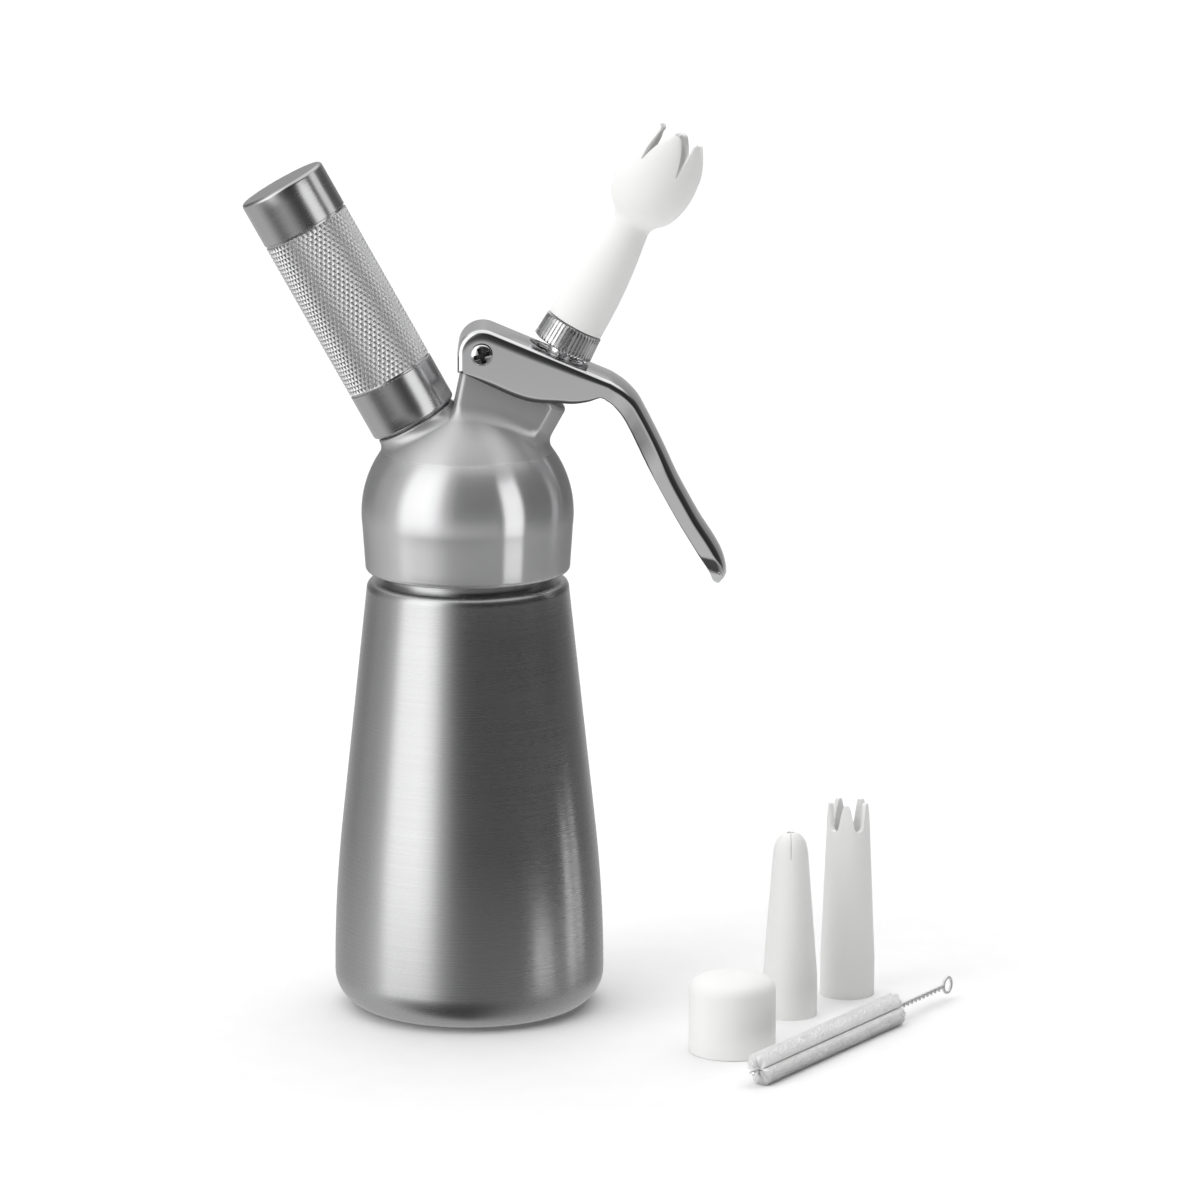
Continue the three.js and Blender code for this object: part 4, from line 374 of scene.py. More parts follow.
class FinishColours(bpy.types.PropertyGroup):
    bottle: colour("Bottle", "Brushed steel of the bottle", 0.53, 0.53, 0.535)
    head: colour("Head", "Satin aluminium of the head", 0.6, 0.6, 0.605)
    holder: colour("Holder", "Turned aluminium of the charger holder", 0.55, 0.55, 0.555)
    # Lighter than the holder's own colour: painted brightness for the light the knurl's facets
    # catch
    knurl: colour("Knurl", "Bright aluminium of the knurl", 0.8, 0.8, 0.805)
    polished: colour("Polished metal", "Bright metal of lever, stem and screw", 0.88, 0.88, 0.885)
    steel: colour("Steel", "Plain steel of the wires", 0.62, 0.62, 0.625)
    collar: colour("Collar", "Bright steel of the collar", 0.8, 0.8, 0.805)
    # Painted shade of the screw's deep cross recess, partly dark oxide
    recess: colour("Recess", "Dark metal inside the screw's recess", 0.1, 0.1, 0.1)
    brass: colour("Brass", "Brass of the valve parts", 0.60, 0.45, 0.20)
    rubber: colour("Rubber", "Rubber of the seals", 0.03, 0.03, 0.032)
    silicone: colour("Silicone", "Silicone of the gaskets", 0.72, 0.72, 0.70)
    plastic: colour("Plastic", "White plastic of nozzles and cap", 0.8, 0.8, 0.795)
    bristles: colour("Bristles", "White nylon of the brush", 0.98, 0.98, 0.975)
    table: colour("Table", "Pale table and backdrop", 0.9, 0.9, 0.9)


class StageSettings(bpy.types.PropertyGroup):
    distance: length("Camera distance", "Camera from its target", 1900)
    elevation: turn("Elevation", "Camera above the horizontal", 12)
    target_x: length("Target X", "Camera target to the right of the bottle's axis", 36.9)
    target_z: length("Target height", "Height of the camera's target", 115.7)
    focal_length: bpy.props.FloatProperty(
        name="Focal length", description="Camera lens in millimetres", default=203.9,
        subtype="DISTANCE_CAMERA")
    table_half: length("Table half size", "Half size of the table", 8000)


class DispenserSettings(bpy.types.PropertyGroup):
    bottle: bpy.props.PointerProperty(type=BottleSizes, name="Bottle")
    head: bpy.props.PointerProperty(type=HeadSizes, name="Head")
    lever: bpy.props.PointerProperty(type=LeverSizes, name="Lever")
    valve: bpy.props.PointerProperty(type=ValveSizes, name="Valve")
    holder: bpy.props.PointerProperty(type=HolderSizes, name="Charger holder")
    nozzles: bpy.props.PointerProperty(type=NozzleSizes, name="Nozzles and cap")
    brush: bpy.props.PointerProperty(type=BrushSizes, name="Brush")
    finishes: bpy.props.PointerProperty(type=FinishColours, name="Finishes")
    stage: bpy.props.PointerProperty(type=StageSettings, name="Stage")


def settings():
    """The scene's sizes, colours and stage settings."""
    return bpy.context.scene.dispenser


# Frames

def placed(origin, angle):
    """Turns points about Y by an angle, z towards x, and then moves them to an origin."""
    cosine, sine = math.cos(angle), math.sin(angle)
    matrix = np.array([[cosine, 0, sine], [0, 1, 0], [-sine, 0, cosine]])
    shift = np.asarray(origin, float)

    def place(points):
        return np.asarray(points, float) @ matrix.T + shift

    return place


def upright(points):
    """Leaves points where they are: the bottle's own axes."""
    return np.asarray(points, float)


def valve_frame():
    """Origin beside the ball's centre, z along the valve axis."""
    head = settings().head
    base = placed((0, 0, head.ball_height), head.tilt)
    return placed(base((head.valve_offset, 0, 0)), head.tilt)


def port_frame():
    """Origin in the ball's centre, z along the gas port's axis."""
    head = settings().head
    return placed((0, 0, head.ball_height), -head.tilt)


def pivot_point():
    """The lever's pivot, behind the valve axis and above the block."""
    lever, head = settings().lever, settings().head
    return valve_frame()((-lever.pivot_behind, 0, head.block_top + lever.pivot_rise))


def lever_frame():
    """Origin at the pivot, x down the web and z out of it."""
    return placed(pivot_point(), settings().lever.slope)


# Profiles: rows of (radius, height)

def arc(centre, radius, start, end, steps):
    """Points on a circle: centre + radius times (cos a, sin a), a in degrees."""
    angle = np.radians(np.linspace(start, end, steps + 1))
    return np.asarray(centre) + radius * np.stack([np.cos(angle), np.sin(angle)], -1)


def bend(start, control, end, steps):
    """A quadratic curve: (1-t)^2 start + 2t(1-t) control + t^2 end."""
    t = np.linspace(0, 1, steps + 1)[:, None]
    points = (1 - t) ** 2 * np.asarray(start) + 2 * t * (1 - t) * np.asarray(control)
    return points + t ** 2 * np.asarray(end)


def line(start, end, steps):
    """A straight line: (1-t) start + t end."""
    t = np.linspace(0, 1, steps + 1)[:, None]
    return (1 - t) * np.asarray(start) + t * np.asarray(end)


def smooth_curve(points, per_span):
    """A Hermite curve through points, with tangents of half the chord between neighbours:
    (2t^3-3t^2+1) p0 + (t^3-2t^2+t) m0 + (3t^2-2t^3) p1 + (t^3-t^2) m1 in each span."""
    points = np.asarray(points, float)
    before = np.vstack([2 * points[0] - points[1], points[:-1]])
    after = np.vstack([points[1:], 2 * points[-1] - points[-2]])
    tangents = (after - before) / 2
    t = np.linspace(0, 1, per_span, endpoint=False)[None, :, None]
    p0, p1 = points[:-1, None], points[1:, None]
    m0, m1 = tangents[:-1, None], tangents[1:, None]
    curve = ((2 * t ** 3 - 3 * t ** 2 + 1) * p0 + (t ** 3 - 2 * t ** 2 + t) * m0
             + (3 * t ** 2 - 2 * t ** 3) * p1 + (t ** 3 - t ** 2) * m1)
    return np.vstack([curve.reshape(-1, points.shape[1]), points[-1:]])


def smooth_step(value, low, high):
    """Rises from 0 at low to 1 at high: 3t^2 - 2t^3."""
    t = np.clip((value - low) / (high - low), 0, 1)
    return t * t * (3 - 2 * t)


def length_along(points):
    """Distance along a polyline from its first point to each point."""
    steps = np.linalg.norm(np.diff(points, axis=0), axis=1)
    return np.concatenate([[0], np.cumsum(steps)])


def evenly(points, number):
    """Takes points at equal distances along a polyline."""
    along = length_along(points)
    wanted = np.linspace(0, along[-1], number)
    return np.stack([np.interp(wanted, along, points[:, k]) for k in range(points.shape[1])], -1)


def unit(vectors):
    """Each vector divided by its length."""
    return vectors / np.linalg.norm(vectors, axis=-1, keepdims=True)


# Patches: points and faces

def grid_patch(points, wrap_rows=False, wrap_columns=False):
    """A grid of points, shaped (rows, columns, 3), with four-sided faces between neighbours."""
    rows, columns = points.shape[:2]
    row = np.arange(rows if wrap_rows else rows - 1)
    column = np.arange(columns if wrap_columns else columns - 1)
    row, column = np.meshgrid(row, column, indexing="ij")
    below, beside = (row + 1) % rows, (column + 1) % columns
    corners = [row * columns + column, row * columns + beside,
               below * columns + beside, below * columns + column]
    return points.reshape(-1, 3), np.stack(corners, -1).reshape(-1, 4).tolist()


def full_turn(steps):
    """Angles at equal distances once round, without the last, which is the first again."""
    return np.linspace(0, 2 * np.pi, steps, endpoint=False)


def turned(radius, height, angle):
    """Points (r cos a, r sin a, h); the three arrays take each other's shape."""
    return np.stack(np.broadcast_arrays(
        radius * np.cos(angle), radius * np.sin(angle), height + 0.0 * angle), -1)


def revolved(profile, segments, place=upright, wrap_rows=False):
    """Turns a profile round the axis: x = r cos a, y = r sin a, z = h."""
    radius, height = np.asarray(profile, float).T[..., None]
    return grid_patch(place(turned(radius, height, full_turn(segments))), wrap_rows, True)


def wire_rings(path, outward, radius, sides):
    """Rings along a wire: path + radius (cos a * outward + sin a * side), where side is square to
    the path and to outward. The first and last rings are points that close the ends."""
    side = np.cross(unit(np.gradient(path, axis=0)), outward)
    angle = full_turn(sides)[None, :, None]
    rings = path[:, None] + radius * (np.cos(angle) * outward[:, None]
                                      + np.sin(angle) * side[:, None])
    ends = np.repeat(path[[0, -1], None], sides, 1)
    return np.concatenate([ends[:1], rings, ends[1:]])


def solid_mesh(name, patches, merge=1e-7, open_sheet=False):
    """Joins patches into one mesh, with shared points merged and faces outwards."""
    points, faces, first = [], [], 0
    for patch_points, patch_faces in patches:
        points.append(patch_points)
        faces.extend([index + first for index in face] for face in patch_faces)
        first += len(patch_points)
    mesh = bpy.data.meshes.new(name)
    mesh.from_pydata(np.concatenate(points).tolist(), [], faces)
    work = bmesh.new()
    work.from_mesh(mesh)
    bmesh.ops.remove_doubles(work, verts=work.verts, dist=merge)
    if not open_sheet:
        bmesh.ops.recalc_face_normals(work, faces=work.faces)
    work.to_mesh(mesh)
    work.free()
    return mesh


def add_object(name, data):
    """Links a new object with the given data to the scene."""
    obj = bpy.data.objects.new(name, data)
    bpy.context.scene.collection.objects.link(obj)
    return obj


def cut_away(patch, *tools):
    """Takes closed patches away from another one and gives what is left as a patch."""
    whole = add_object("whole", solid_mesh("whole", [patch]))
    tool = add_object("tool", solid_mesh("tool", tools))
    cut = whole.modifiers.new("Cut", "BOOLEAN")
    cut.operation = "DIFFERENCE"
    cut.solver = "EXACT"
    cut.object = tool
    graph = bpy.context.evaluated_depsgraph_get()
    rest = bpy.data.meshes.new_from_object(whole.evaluated_get(graph))
    points = np.array([vertex.co[:] for vertex in rest.vertices])
    faces = [list(polygon.vertices) for polygon in rest.polygons]
    for mesh in (rest, whole.data, tool.data):
        bpy.data.meshes.remove(mesh)
    return points, faces


def add_sheet(skin, thickness, edge, edge_angle, even=False):
    """Grows a skin inwards to a sheet and rounds its cut edges, those sharper than an angle in
    degrees."""
    wall = skin.modifiers.new("Sheet", "SOLIDIFY")
    wall.thickness = thickness
    wall.offset = -1
    wall.use_even_offset = even
    edges = skin.modifiers.new("Edges", "BEVEL")
    edges.width = edge
    edges.segments = 2
    edges.limit_method = "ANGLE"
    edges.angle_limit = math.radians(edge_angle)


def piece(name, patches, material, body, replaced, merge=1e-7, sharp=35,
          open_sheet=False):
    """Makes one mesh object of patches, with its finish and body, in place of some of the
    frame's nodes. Edges sharper than the angle sharp, in degrees, stay hard; points closer than
    merge become one."""
    mesh = solid_mesh(name, patches, merge, open_sheet)
    mesh.shade_smooth()
    if sharp:
        mesh.set_sharp_from_angle(angle=math.radians(sharp))
    mesh.materials.append(finish(material))
    obj = add_object(name, mesh)
    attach(obj, body)
    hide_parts(*replaced)
    return obj


# Finishes

def group_with_sockets(name, inputs, outputs):
    """A shader node group with named inputs, each with a default, and named outputs."""
    group = bpy.data.node_groups.new(name, "ShaderNodeTree")
    for label, kind, default in inputs:
        socket = group.interface.new_socket(name=label, in_out="INPUT", socket_type=kind)
        if default is not None:
            socket.default_value = default
    for label, kind in outputs:
        group.interface.new_socket(name=label, in_out="OUTPUT", socket_type=kind)
    return group, group.nodes.new("NodeGroupInput"), group.nodes.new("NodeGroupOutput")


def feed(tree, socket, value):
    """Puts a number on a socket, or links another socket to it."""
    if isinstance(value, (int, float)):
        socket.default_value = value
    else:
        tree.links.new(value, socket)


def math_node(tree, operation, first, second):
    """One Math node of two numbers or sockets."""
    node = tree.nodes.new("ShaderNodeMath")
    node.operation = operation
    feed(tree, node.inputs[0], first)
    feed(tree, node.inputs[1], second)
    return node.outputs[0]


def zone_node(tree, value, low, high, top=1.0):
    """Rises smoothly from 0 to top as a value runs from low to high."""
    zone = tree.nodes.new("ShaderNodeMapRange")
    zone.interpolation_type = "SMOOTHSTEP"
    zone.inputs["From Min"].default_value = low
    zone.inputs["From Max"].default_value = high
    zone.inputs["To Max"].default_value = top
    tree.links.new(value, zone.inputs["Value"])
    return zone.outputs[0]


def brushed_grain_group():
    """Fine parallel scratches round the Z axis: noise of (across x, across y, along z), as a
    height and as a roughness, base + spread (noise - 0.5)."""
    name = "Brushed Grain"
    if name in bpy.data.node_groups:
        return bpy.data.node_groups[name]
    group, given, result = group_with_sockets(
        name,
        [("Vector", "NodeSocketVector", None), ("Across", "NodeSocketFloat", 40.0),
         ("Along", "NodeSocketFloat", 3000.0), ("Roughness", "NodeSocketFloat", 0.3),
         ("Spread", "NodeSocketFloat", 0.15)],
        [("Height", "NodeSocketFloat"), ("Roughness", "NodeSocketFloat")])
    links = group.links
    parts = group.nodes.new("ShaderNodeSeparateXYZ")
    links.new(given.outputs["Vector"], parts.inputs[0])
    stretched = group.nodes.new("ShaderNodeCombineXYZ")
    for axis, scale in ((0, "Across"), (1, "Across"), (2, "Along")):
        links.new(math_node(group, "MULTIPLY", parts.outputs[axis], given.outputs[scale]),
                  stretched.inputs[axis])
    noise = group.nodes.new("ShaderNodeTexNoise")
    noise.inputs["Scale"].default_value = 1.0
    noise.inputs["Detail"].default_value = 3.0
    noise.inputs["Roughness"].default_value = 0.7
    links.new(stretched.outputs[0], noise.inputs["Vector"])
    links.new(noise.outputs[0], result.inputs["Height"])
    centred = math_node(group, "SUBTRACT", noise.outputs[0], 0.5)
    spread = math_node(group, "MULTIPLY", centred, given.outputs["Spread"])
    links.new(math_node(group, "ADD", spread, given.outputs["Roughness"]),
              result.inputs["Roughness"])
    return group


def handling_marks_group():
    """Faint cloudy marks from handling, as a mask round zero: strength ((noise - 0.5) + 0.4
    (finer noise - 0.5))."""
    name = "Handling Marks"
    if name in bpy.data.node_groups:
        return bpy.data.node_groups[name]
    group, given, result = group_with_sockets(
        name,
        [("Vector", "NodeSocketVector", None), ("Scale", "NodeSocketFloat", 60.0),
         ("Strength", "NodeSocketFloat", 0.05)],
        [("Mask", "NodeSocketFloat")])
    links = group.links
    masks = []
    for factor in (1.0, 5.3):
        noise = group.nodes.new("ShaderNodeTexNoise")
        noise.inputs["Detail"].default_value = 2.0
        links.new(given.outputs["Vector"], noise.inputs["Vector"])
        links.new(math_node(group, "MULTIPLY", given.outputs["Scale"], factor),
                  noise.inputs["Scale"])
        masks.append(math_node(group, "SUBTRACT", noise.outputs[0], 0.5))
    both = math_node(group, "ADD", masks[0], math_node(group, "MULTIPLY", masks[1], 0.4))
    links.new(math_node(group, "MULTIPLY", both, given.outputs["Strength"]),
              result.inputs["Mask"])
    return group


def new_material(name):
    """A new node material: returns the material, its tree and its Principled shader."""
    material = bpy.data.materials.new(name)
    material.use_nodes = True
    tree = material.node_tree
    return material, tree, tree.nodes["Principled BSDF"]


def object_vector(tree, angle=0.0, origin=(0, 0, 0)):
    """Object coordinates, moved to an origin and turned about Y so that a leaning axis is Z."""
    coordinates = tree.nodes.new("ShaderNodeTexCoord")
    mapping = tree.nodes.new("ShaderNodeMapping")
    mapping.vector_type = "TEXTURE"
    mapping.inputs["Location"].default_value = origin
    mapping.inputs["Rotation"].default_value = (0, angle, 0)
    tree.links.new(coordinates.outputs["Object"], mapping.inputs["Vector"])
    return mapping.outputs[0]


def use_group(tree, group, **values):
    """Places a node group, with numbers on its sockets and sockets linked."""
    node = tree.nodes.new("ShaderNodeGroup")
    node.node_tree = group
    for label, value in values.items():
        feed(tree, node.inputs[label], value)
    return node


def add_bump(tree, shader, height, distance):
    """Feeds a height, in shares of a distance, to the shader's normal."""
    bump = tree.nodes.new("ShaderNodeBump")
    bump.inputs["Distance"].default_value = distance
    bump.inputs["Strength"].default_value = 1.0
    tree.links.new(height, bump.inputs["Height"])
    tree.links.new(bump.outputs[0], shader.inputs["Normal"])


def tinted(tree, shader, base, mask):
    """Base colour that a mask round zero makes lighter or darker: from 0.9 to 1.1 base."""
    mix = tree.nodes.new("ShaderNodeMix")
    mix.data_type = "RGBA"
    mix.inputs["A"].default_value = (*[0.9 * c for c in base], 1)
    mix.inputs["B"].default_value = (*[min(1.0, 1.1 * c) for c in base], 1)
    tree.links.new(math_node(tree, "ADD", mask, 0.5), mix.inputs["Factor"])
    tree.links.new(mix.outputs["Result"], shader.inputs["Base Color"])


def metal(name, base, roughness, marks, grain=NO_GRAIN, angle=0.0, origin=(0, 0, 0), streak=0.0,
          cast=None, satin=0.0, edge=1.0):
    """Metal with handling marks and scratches round an axis that leans by an angle, with grain
    (across, along, spread, depth). Highlights streak along that axis. Where cast is (height,
    extra roughness), the surface above that height is left duller, as blasted. Satin is the
    share of light that the surface scatters evenly, and edge the tint where it turns away."""
    if name in bpy.data.materials:
        return bpy.data.materials[name]
    material, tree, shader = new_material(name)
    shader.inputs["Metallic"].default_value = 1.0 - satin
    shader.inputs["Specular Tint"].default_value = (edge, edge, edge, 1)
    if streak:
        shader.inputs["Anisotropic"].default_value = streak
        axis = tree.nodes.new("ShaderNodeCombineXYZ")
        axis.inputs[0].default_value = math.sin(angle)
        axis.inputs[2].default_value = math.cos(angle)
        tree.links.new(axis.outputs[0], shader.inputs["Tangent"])
    vector = object_vector(tree, angle, origin)
    mask = use_group(tree, handling_marks_group(), Vector=vector, Scale=70.0, Strength=marks)
    tinted(tree, shader, base, mask.outputs["Mask"])
    across, along, spread, depth = grain
    scratches = use_group(tree, brushed_grain_group(), Vector=vector, Across=across, Along=along,
                          Roughness=roughness, Spread=spread)
    marked = math_node(tree, "ADD", scratches.outputs["Roughness"],
                       math_node(tree, "MULTIPLY", mask.outputs["Mask"], MARKS_IN_ROUGHNESS))
    if cast:
        parts = tree.nodes.new("ShaderNodeSeparateXYZ")
        tree.links.new(vector, parts.inputs[0])
        height, extra = cast
        fade = 0.4 * MM
        marked = math_node(tree, "ADD", marked, zone_node(
            tree, parts.outputs[2], height - fade, height + fade, extra))
    tree.links.new(marked, shader.inputs["Roughness"])
    if depth:
        add_bump(tree, shader, scratches.outputs["Height"], depth)
    return material


def moulded(name, base, roughness, specular=0.5, grain_scale=2500.0, depth=4e-6, glow=0.0):
    """Moulded plastic or rubber: faint fine texture and handling marks in its roughness."""
    if name in bpy.data.materials:
        return bpy.data.materials[name]
    material, tree, shader = new_material(name)
    vector = object_vector(tree)
    mask = use_group(tree, handling_marks_group(), Vector=vector, Scale=90.0, Strength=0.2)
    tinted(tree, shader, base, mask.outputs["Mask"])
    texture = use_group(tree, brushed_grain_group(), Vector=vector, Across=grain_scale,
                        Along=grain_scale, Roughness=roughness, Spread=0.1)
    tree.links.new(texture.outputs["Roughness"], shader.inputs["Roughness"])
    add_bump(tree, shader, texture.outputs["Height"], depth)
    shader.inputs["Specular IOR Level"].default_value = specular
    if glow:
        shader.inputs["Subsurface Weight"].default_value = glow
        shader.inputs["Subsurface Radius"].default_value = (1.0, 1.0, 1.0)
        shader.inputs["Subsurface Scale"].default_value = 2 * MM
    return material


def bottle_finish():
    """Brushed round the bottle."""
    return metal("bottle_brushed", settings().finishes.bottle, 0.28, 0.25,
                 grain=(25.0, 2600.0, 0.12, 4e-6), streak=0.75)


def head_finish():
    """Satin, turned round the upright axis below and blasted above."""
    return metal("head_satin", settings().finishes.head, 0.22, 0.25,
                 grain=(35.0, 2200.0, 0.1, 3e-6), streak=0.85,
                 cast=(settings().head.turned_height, 0.2), satin=0.24, edge=0.4)


def holder_finish():
    """Turned round the gas port's axis."""
    head = settings().head
    return metal("holder_turned", settings().finishes.holder, 0.26, 0.3,
                 grain=(20.0, 2600.0, 0.1, 3e-6), angle=-head.tilt,
                 origin=(0, 0, head.ball_height), streak=0.4)


def finish(name):
    """The material of a name, from one of the two tables or one of the three functions."""
    if name in PLAIN_METALS:
        base, roughness, marks, satin = PLAIN_METALS[name]
        return metal(name, getattr(settings().finishes, base), roughness, marks, satin=satin)
    if name in MOULDINGS:
        base, roughness, glow = MOULDINGS[name]
        return moulded(name, getattr(settings().finishes, base), roughness, glow=glow)
    return {"bottle_brushed": bottle_finish, "head_satin": head_finish,
            "holder_turned": holder_finish}[name]()


# Bottle

def bottle_wall(size, inset, floor, corner):
    """The wall's outline from the axis to the shoulder, moved in by an inset."""
    radius, top_radius = size.radius - inset, size.top_radius - inset
    top = size.height - size.shoulder
    middle = size.base_corner + size.curve_height / 2
    end = size.base_corner + size.curve_height
    lean = (radius - top_radius) / (top - middle)
    curve_end = (radius - lean * (end - middle), end)
    return [
        [(0, floor)],
        arc((radius - corner, floor + corner), corner, -90, 0, 14),
        bend((radius, size.base_corner), (radius, middle), curve_end, 20),
        line(curve_end, (top_radius, top), 8)[1:],
    ]


def make_bottle():
    """Revolved outside with a small shoulder and neck, and a revolved inside."""
    size = settings().bottle
    height, neck, neck_top = size.height, size.neck_radius, BOTTLE_HIGH.z
    inner_neck, rounding = neck - size.neck_wall, 0.6 * MM
    outside = bottle_wall(size, 0, 0, size.base_corner) + [
        bend((size.top_radius, height - size.shoulder), (size.top_radius, height),
             (size.top_radius - size.shoulder, height), 10)[1:],
        [(neck, height), (neck, neck_top - rounding), (neck - rounding, neck_top),
         (inner_neck, neck_top)],
    ]
    inside = bottle_wall(size, size.wall, size.floor, size.base_corner - size.floor) + [
        [(inner_neck, height - size.wall)]]
    profile = np.vstack(outside + [np.vstack(inside)[::-1]])
    piece("bottle_shell", [revolved(profile, LARGE_ROUND)], "bottle_brushed", "bottle",
          ("bottle",))


# Head

def ball_and_skirt():
    """Ball and skirt outside, thread bore and domed cavity inside, as one revolved profile, with
    the valve's bore and well and the gas port's socket cut out of it."""
    head, valve = settings().head, settings().valve
    radius, centre, angle = head.ball_radius, head.ball_height, head.skirt_angle
    rim, rim_radius, rim_height = head.rim_rounding, head.rim_radius, head.rim_height
    thread, cavity, seat = head.thread_radius, head.cavity_radius, head.seat_height
    cavity_top = centre + radius - head.cavity_crown
    profile = np.vstack([
        arc((0, centre), radius, 90, -math.degrees(angle), 60),
        line((radius * math.cos(angle), centre - radius * math.sin(angle)),
             (rim_radius, rim_height + rim), 4)[1:],
        arc((rim_radius - rim, rim_height + rim), rim, 0, -90, 6)[1:],
        [(thread, rim_height), (thread, seat), (cavity, seat)],
        bend((cavity, seat + head.cavity_step), (cavity, cavity_top),
             (head.cavity_top, cavity_top), 8),
        [(0, cavity_top)],
    ])
    beyond = head.block_top + 5 * MM
    bore, floor = valve.bushing_radius + FIT_GAP, valve.bushing_bottom - FIT_GAP
    well = [(0, valve.well_bottom), (valve.well_radius, valve.well_bottom),
            (valve.well_radius, floor), (bore, floor), (bore, beyond), (0, beyond)]
    socket = [(0, head.socket_floor), (head.socket_radius, head.socket_floor),
              (head.socket_radius, beyond), (0, beyond)]
    return cut_away(revolved(profile, LARGE_ROUND), revolved(well, STEM_ROUND, valve_frame()),
                    revolved(socket, STEM_ROUND, port_frame()))


def leaning(angle):
    """Direction in the XZ plane that leans from the vertical towards the lever."""
    angle = np.asarray(angle, float)
    return np.stack([np.sin(angle), 0 * angle, np.cos(angle)], -1)


def meeting(start, rise, other_start, other_rise):
    """Where two lines in the XZ plane meet: start + t rise, t by Cramer's rule."""
    span = other_start - start
    share_along = span[0] * other_rise[2] - span[2] * other_rise[0]
    return start + rise * share_along / (rise[0] * other_rise[2] - rise[2] * other_rise[0])


def block_walls():
    """The block's walls once round: a foot, a rise up the wall and a normal out of it each. The
    rises fan out from the leaning back wall to the valve axis."""
    head = settings().head
    valve = valve_frame()
    half, end_radius, corner = head.block_half_width, head.block_end_radius, head.block_corner
    back_rise = leaning(head.back_lean)
    back_normal = np.array([-back_rise[2], 0, back_rise[0]])
    end_angle = math.asin(half / end_radius)
    angle = np.linspace(-end_angle, end_angle, 25)
    local = np.stack([np.cos(angle), np.sin(angle), 0 * angle], -1)
    end_foot = valve(local * end_radius)
    end_normal = valve(local) - valve((0, 0, 0))
    end_rise = np.repeat(leaning(head.tilt)[None], len(angle), 0)
    pivot = pivot_point()
    back_top = np.array([pivot[0] - head.back_reach, 0, pivot[2] - head.step_drop])
    back_top = back_top - back_normal * corner
    flat_end = valve((end_radius * math.cos(end_angle), 0, 0))
    fan_centre = meeting(flat_end, leaning(head.tilt), back_top, back_rise)
    reach = np.linalg.norm(back_top - fan_centre)
    sideways = np.array([0, 1.0, 0])
    fan = head.tilt + (head.back_lean - head.tilt) * np.linspace(0, 1, 15)[1:]
    side_rise = leaning(fan)
    side_foot = fan_centre + side_rise * reach + sideways * half
    side_normal = np.repeat(sideways[None], len(fan), 0)
    bow = np.radians(np.linspace(0, 90, 8))[:, None]
    corner_normal = np.cos(bow) * sideways + np.sin(bow) * back_normal
    corner_foot = (fan_centre + back_rise * reach + sideways * (half - corner)
                   + corner_normal * corner)
    corner_rise = np.repeat(back_rise[None], len(bow), 0)
    foot = np.vstack([side_foot, corner_foot])
    rise = np.vstack([side_rise, corner_rise])
    normal = np.vstack([side_normal, corner_normal])
    mirror = np.array([1, -1, 1])
    return (np.vstack([end_foot, foot, (foot * mirror)[::-1]]),
            np.vstack([end_rise, rise, rise[::-1]]),
            np.vstack([end_normal, normal, (normal * mirror)[::-1]]))


def dot(first, second):
    """Scalar products of paired rows, as a column."""
    return (first * second).sum(-1, keepdims=True)


def valve_block():
    """Walls, rounded upper edge, flat top and open bushing bore. Where a ball of the fillet's
    radius touches a wall and the large ball at once, its arc between the contacts is the blend."""
    head, valve_size = settings().head, settings().valve
    foot, rise, normal = block_walls()
    centre_of_ball = np.array([0, 0, head.ball_height])
    fillet = head.end_fillet + (head.side_fillet - head.end_fillet) * np.abs(normal[:, 1:2])
    start = foot + normal * fillet - centre_of_ball
    along = dot(start, rise)
    reach = head.ball_radius + fillet
    centre = start + rise * (np.sqrt(along ** 2 - dot(start, start) + reach ** 2) - along)
    to_ball = -unit(centre)
    opening = np.arccos(np.clip(dot(to_ball, -normal), -1, 1))
    rings = [to_ball * (head.blend_sink - head.ball_radius) + centre_of_ball]
    for step in np.linspace(0, 1, 12):
        spoke = to_ball * np.sin(opening * (1 - step)) - normal * np.sin(opening * step)
        rings.append(centre + spoke / np.sin(opening) * fillet + centre_of_ball)
    axis, pivot = leaning(head.tilt), pivot_point()
    step_height, lug_back = pivot[2] - head.step_drop, pivot[0] - head.lug_radius
    wall_end = rings[-1]
    edge = np.radians(np.linspace(0, 90, 7))
    for angle in edge:
        level = head.block_top - head.block_rounding * (1 - math.sin(angle))
        point = foot - normal * (head.block_rounding * (1 - math.cos(angle)))
        point = point + rise * (level - dot(point - centre_of_ball, axis)) / dot(rise, axis)
        stepped = point + rise * np.minimum(0, (step_height - point[:, 2:]) / rise[:, 2:])
        point = np.where(point[:, :1] < lug_back, stepped, point)
        rings.append(point)
    for share_up in (0.35, 0.7):
        rings.insert(-len(edge), wall_end * (1 - share_up) + rings[-len(edge)] * share_up)
    valve = valve_frame()
    flat = point - valve((0, 0, 0))
    across = flat @ (valve((1, 0, 0)) - valve((0, 0, 0)))
    rim = turned(valve_size.bushing_radius + FIT_GAP, head.block_top,
                 np.arctan2(flat[:, 1], across))
    for share_in in np.linspace(0, 1, 9)[1:]:
        rings.append(point * (1 - share_in) + valve(rim) * share_in)
    rings.append(valve(rim * (1, 1, 0) + (0, 0, valve_size.bushing_bottom)))
    return grid_patch(np.stack(rings), True, True)


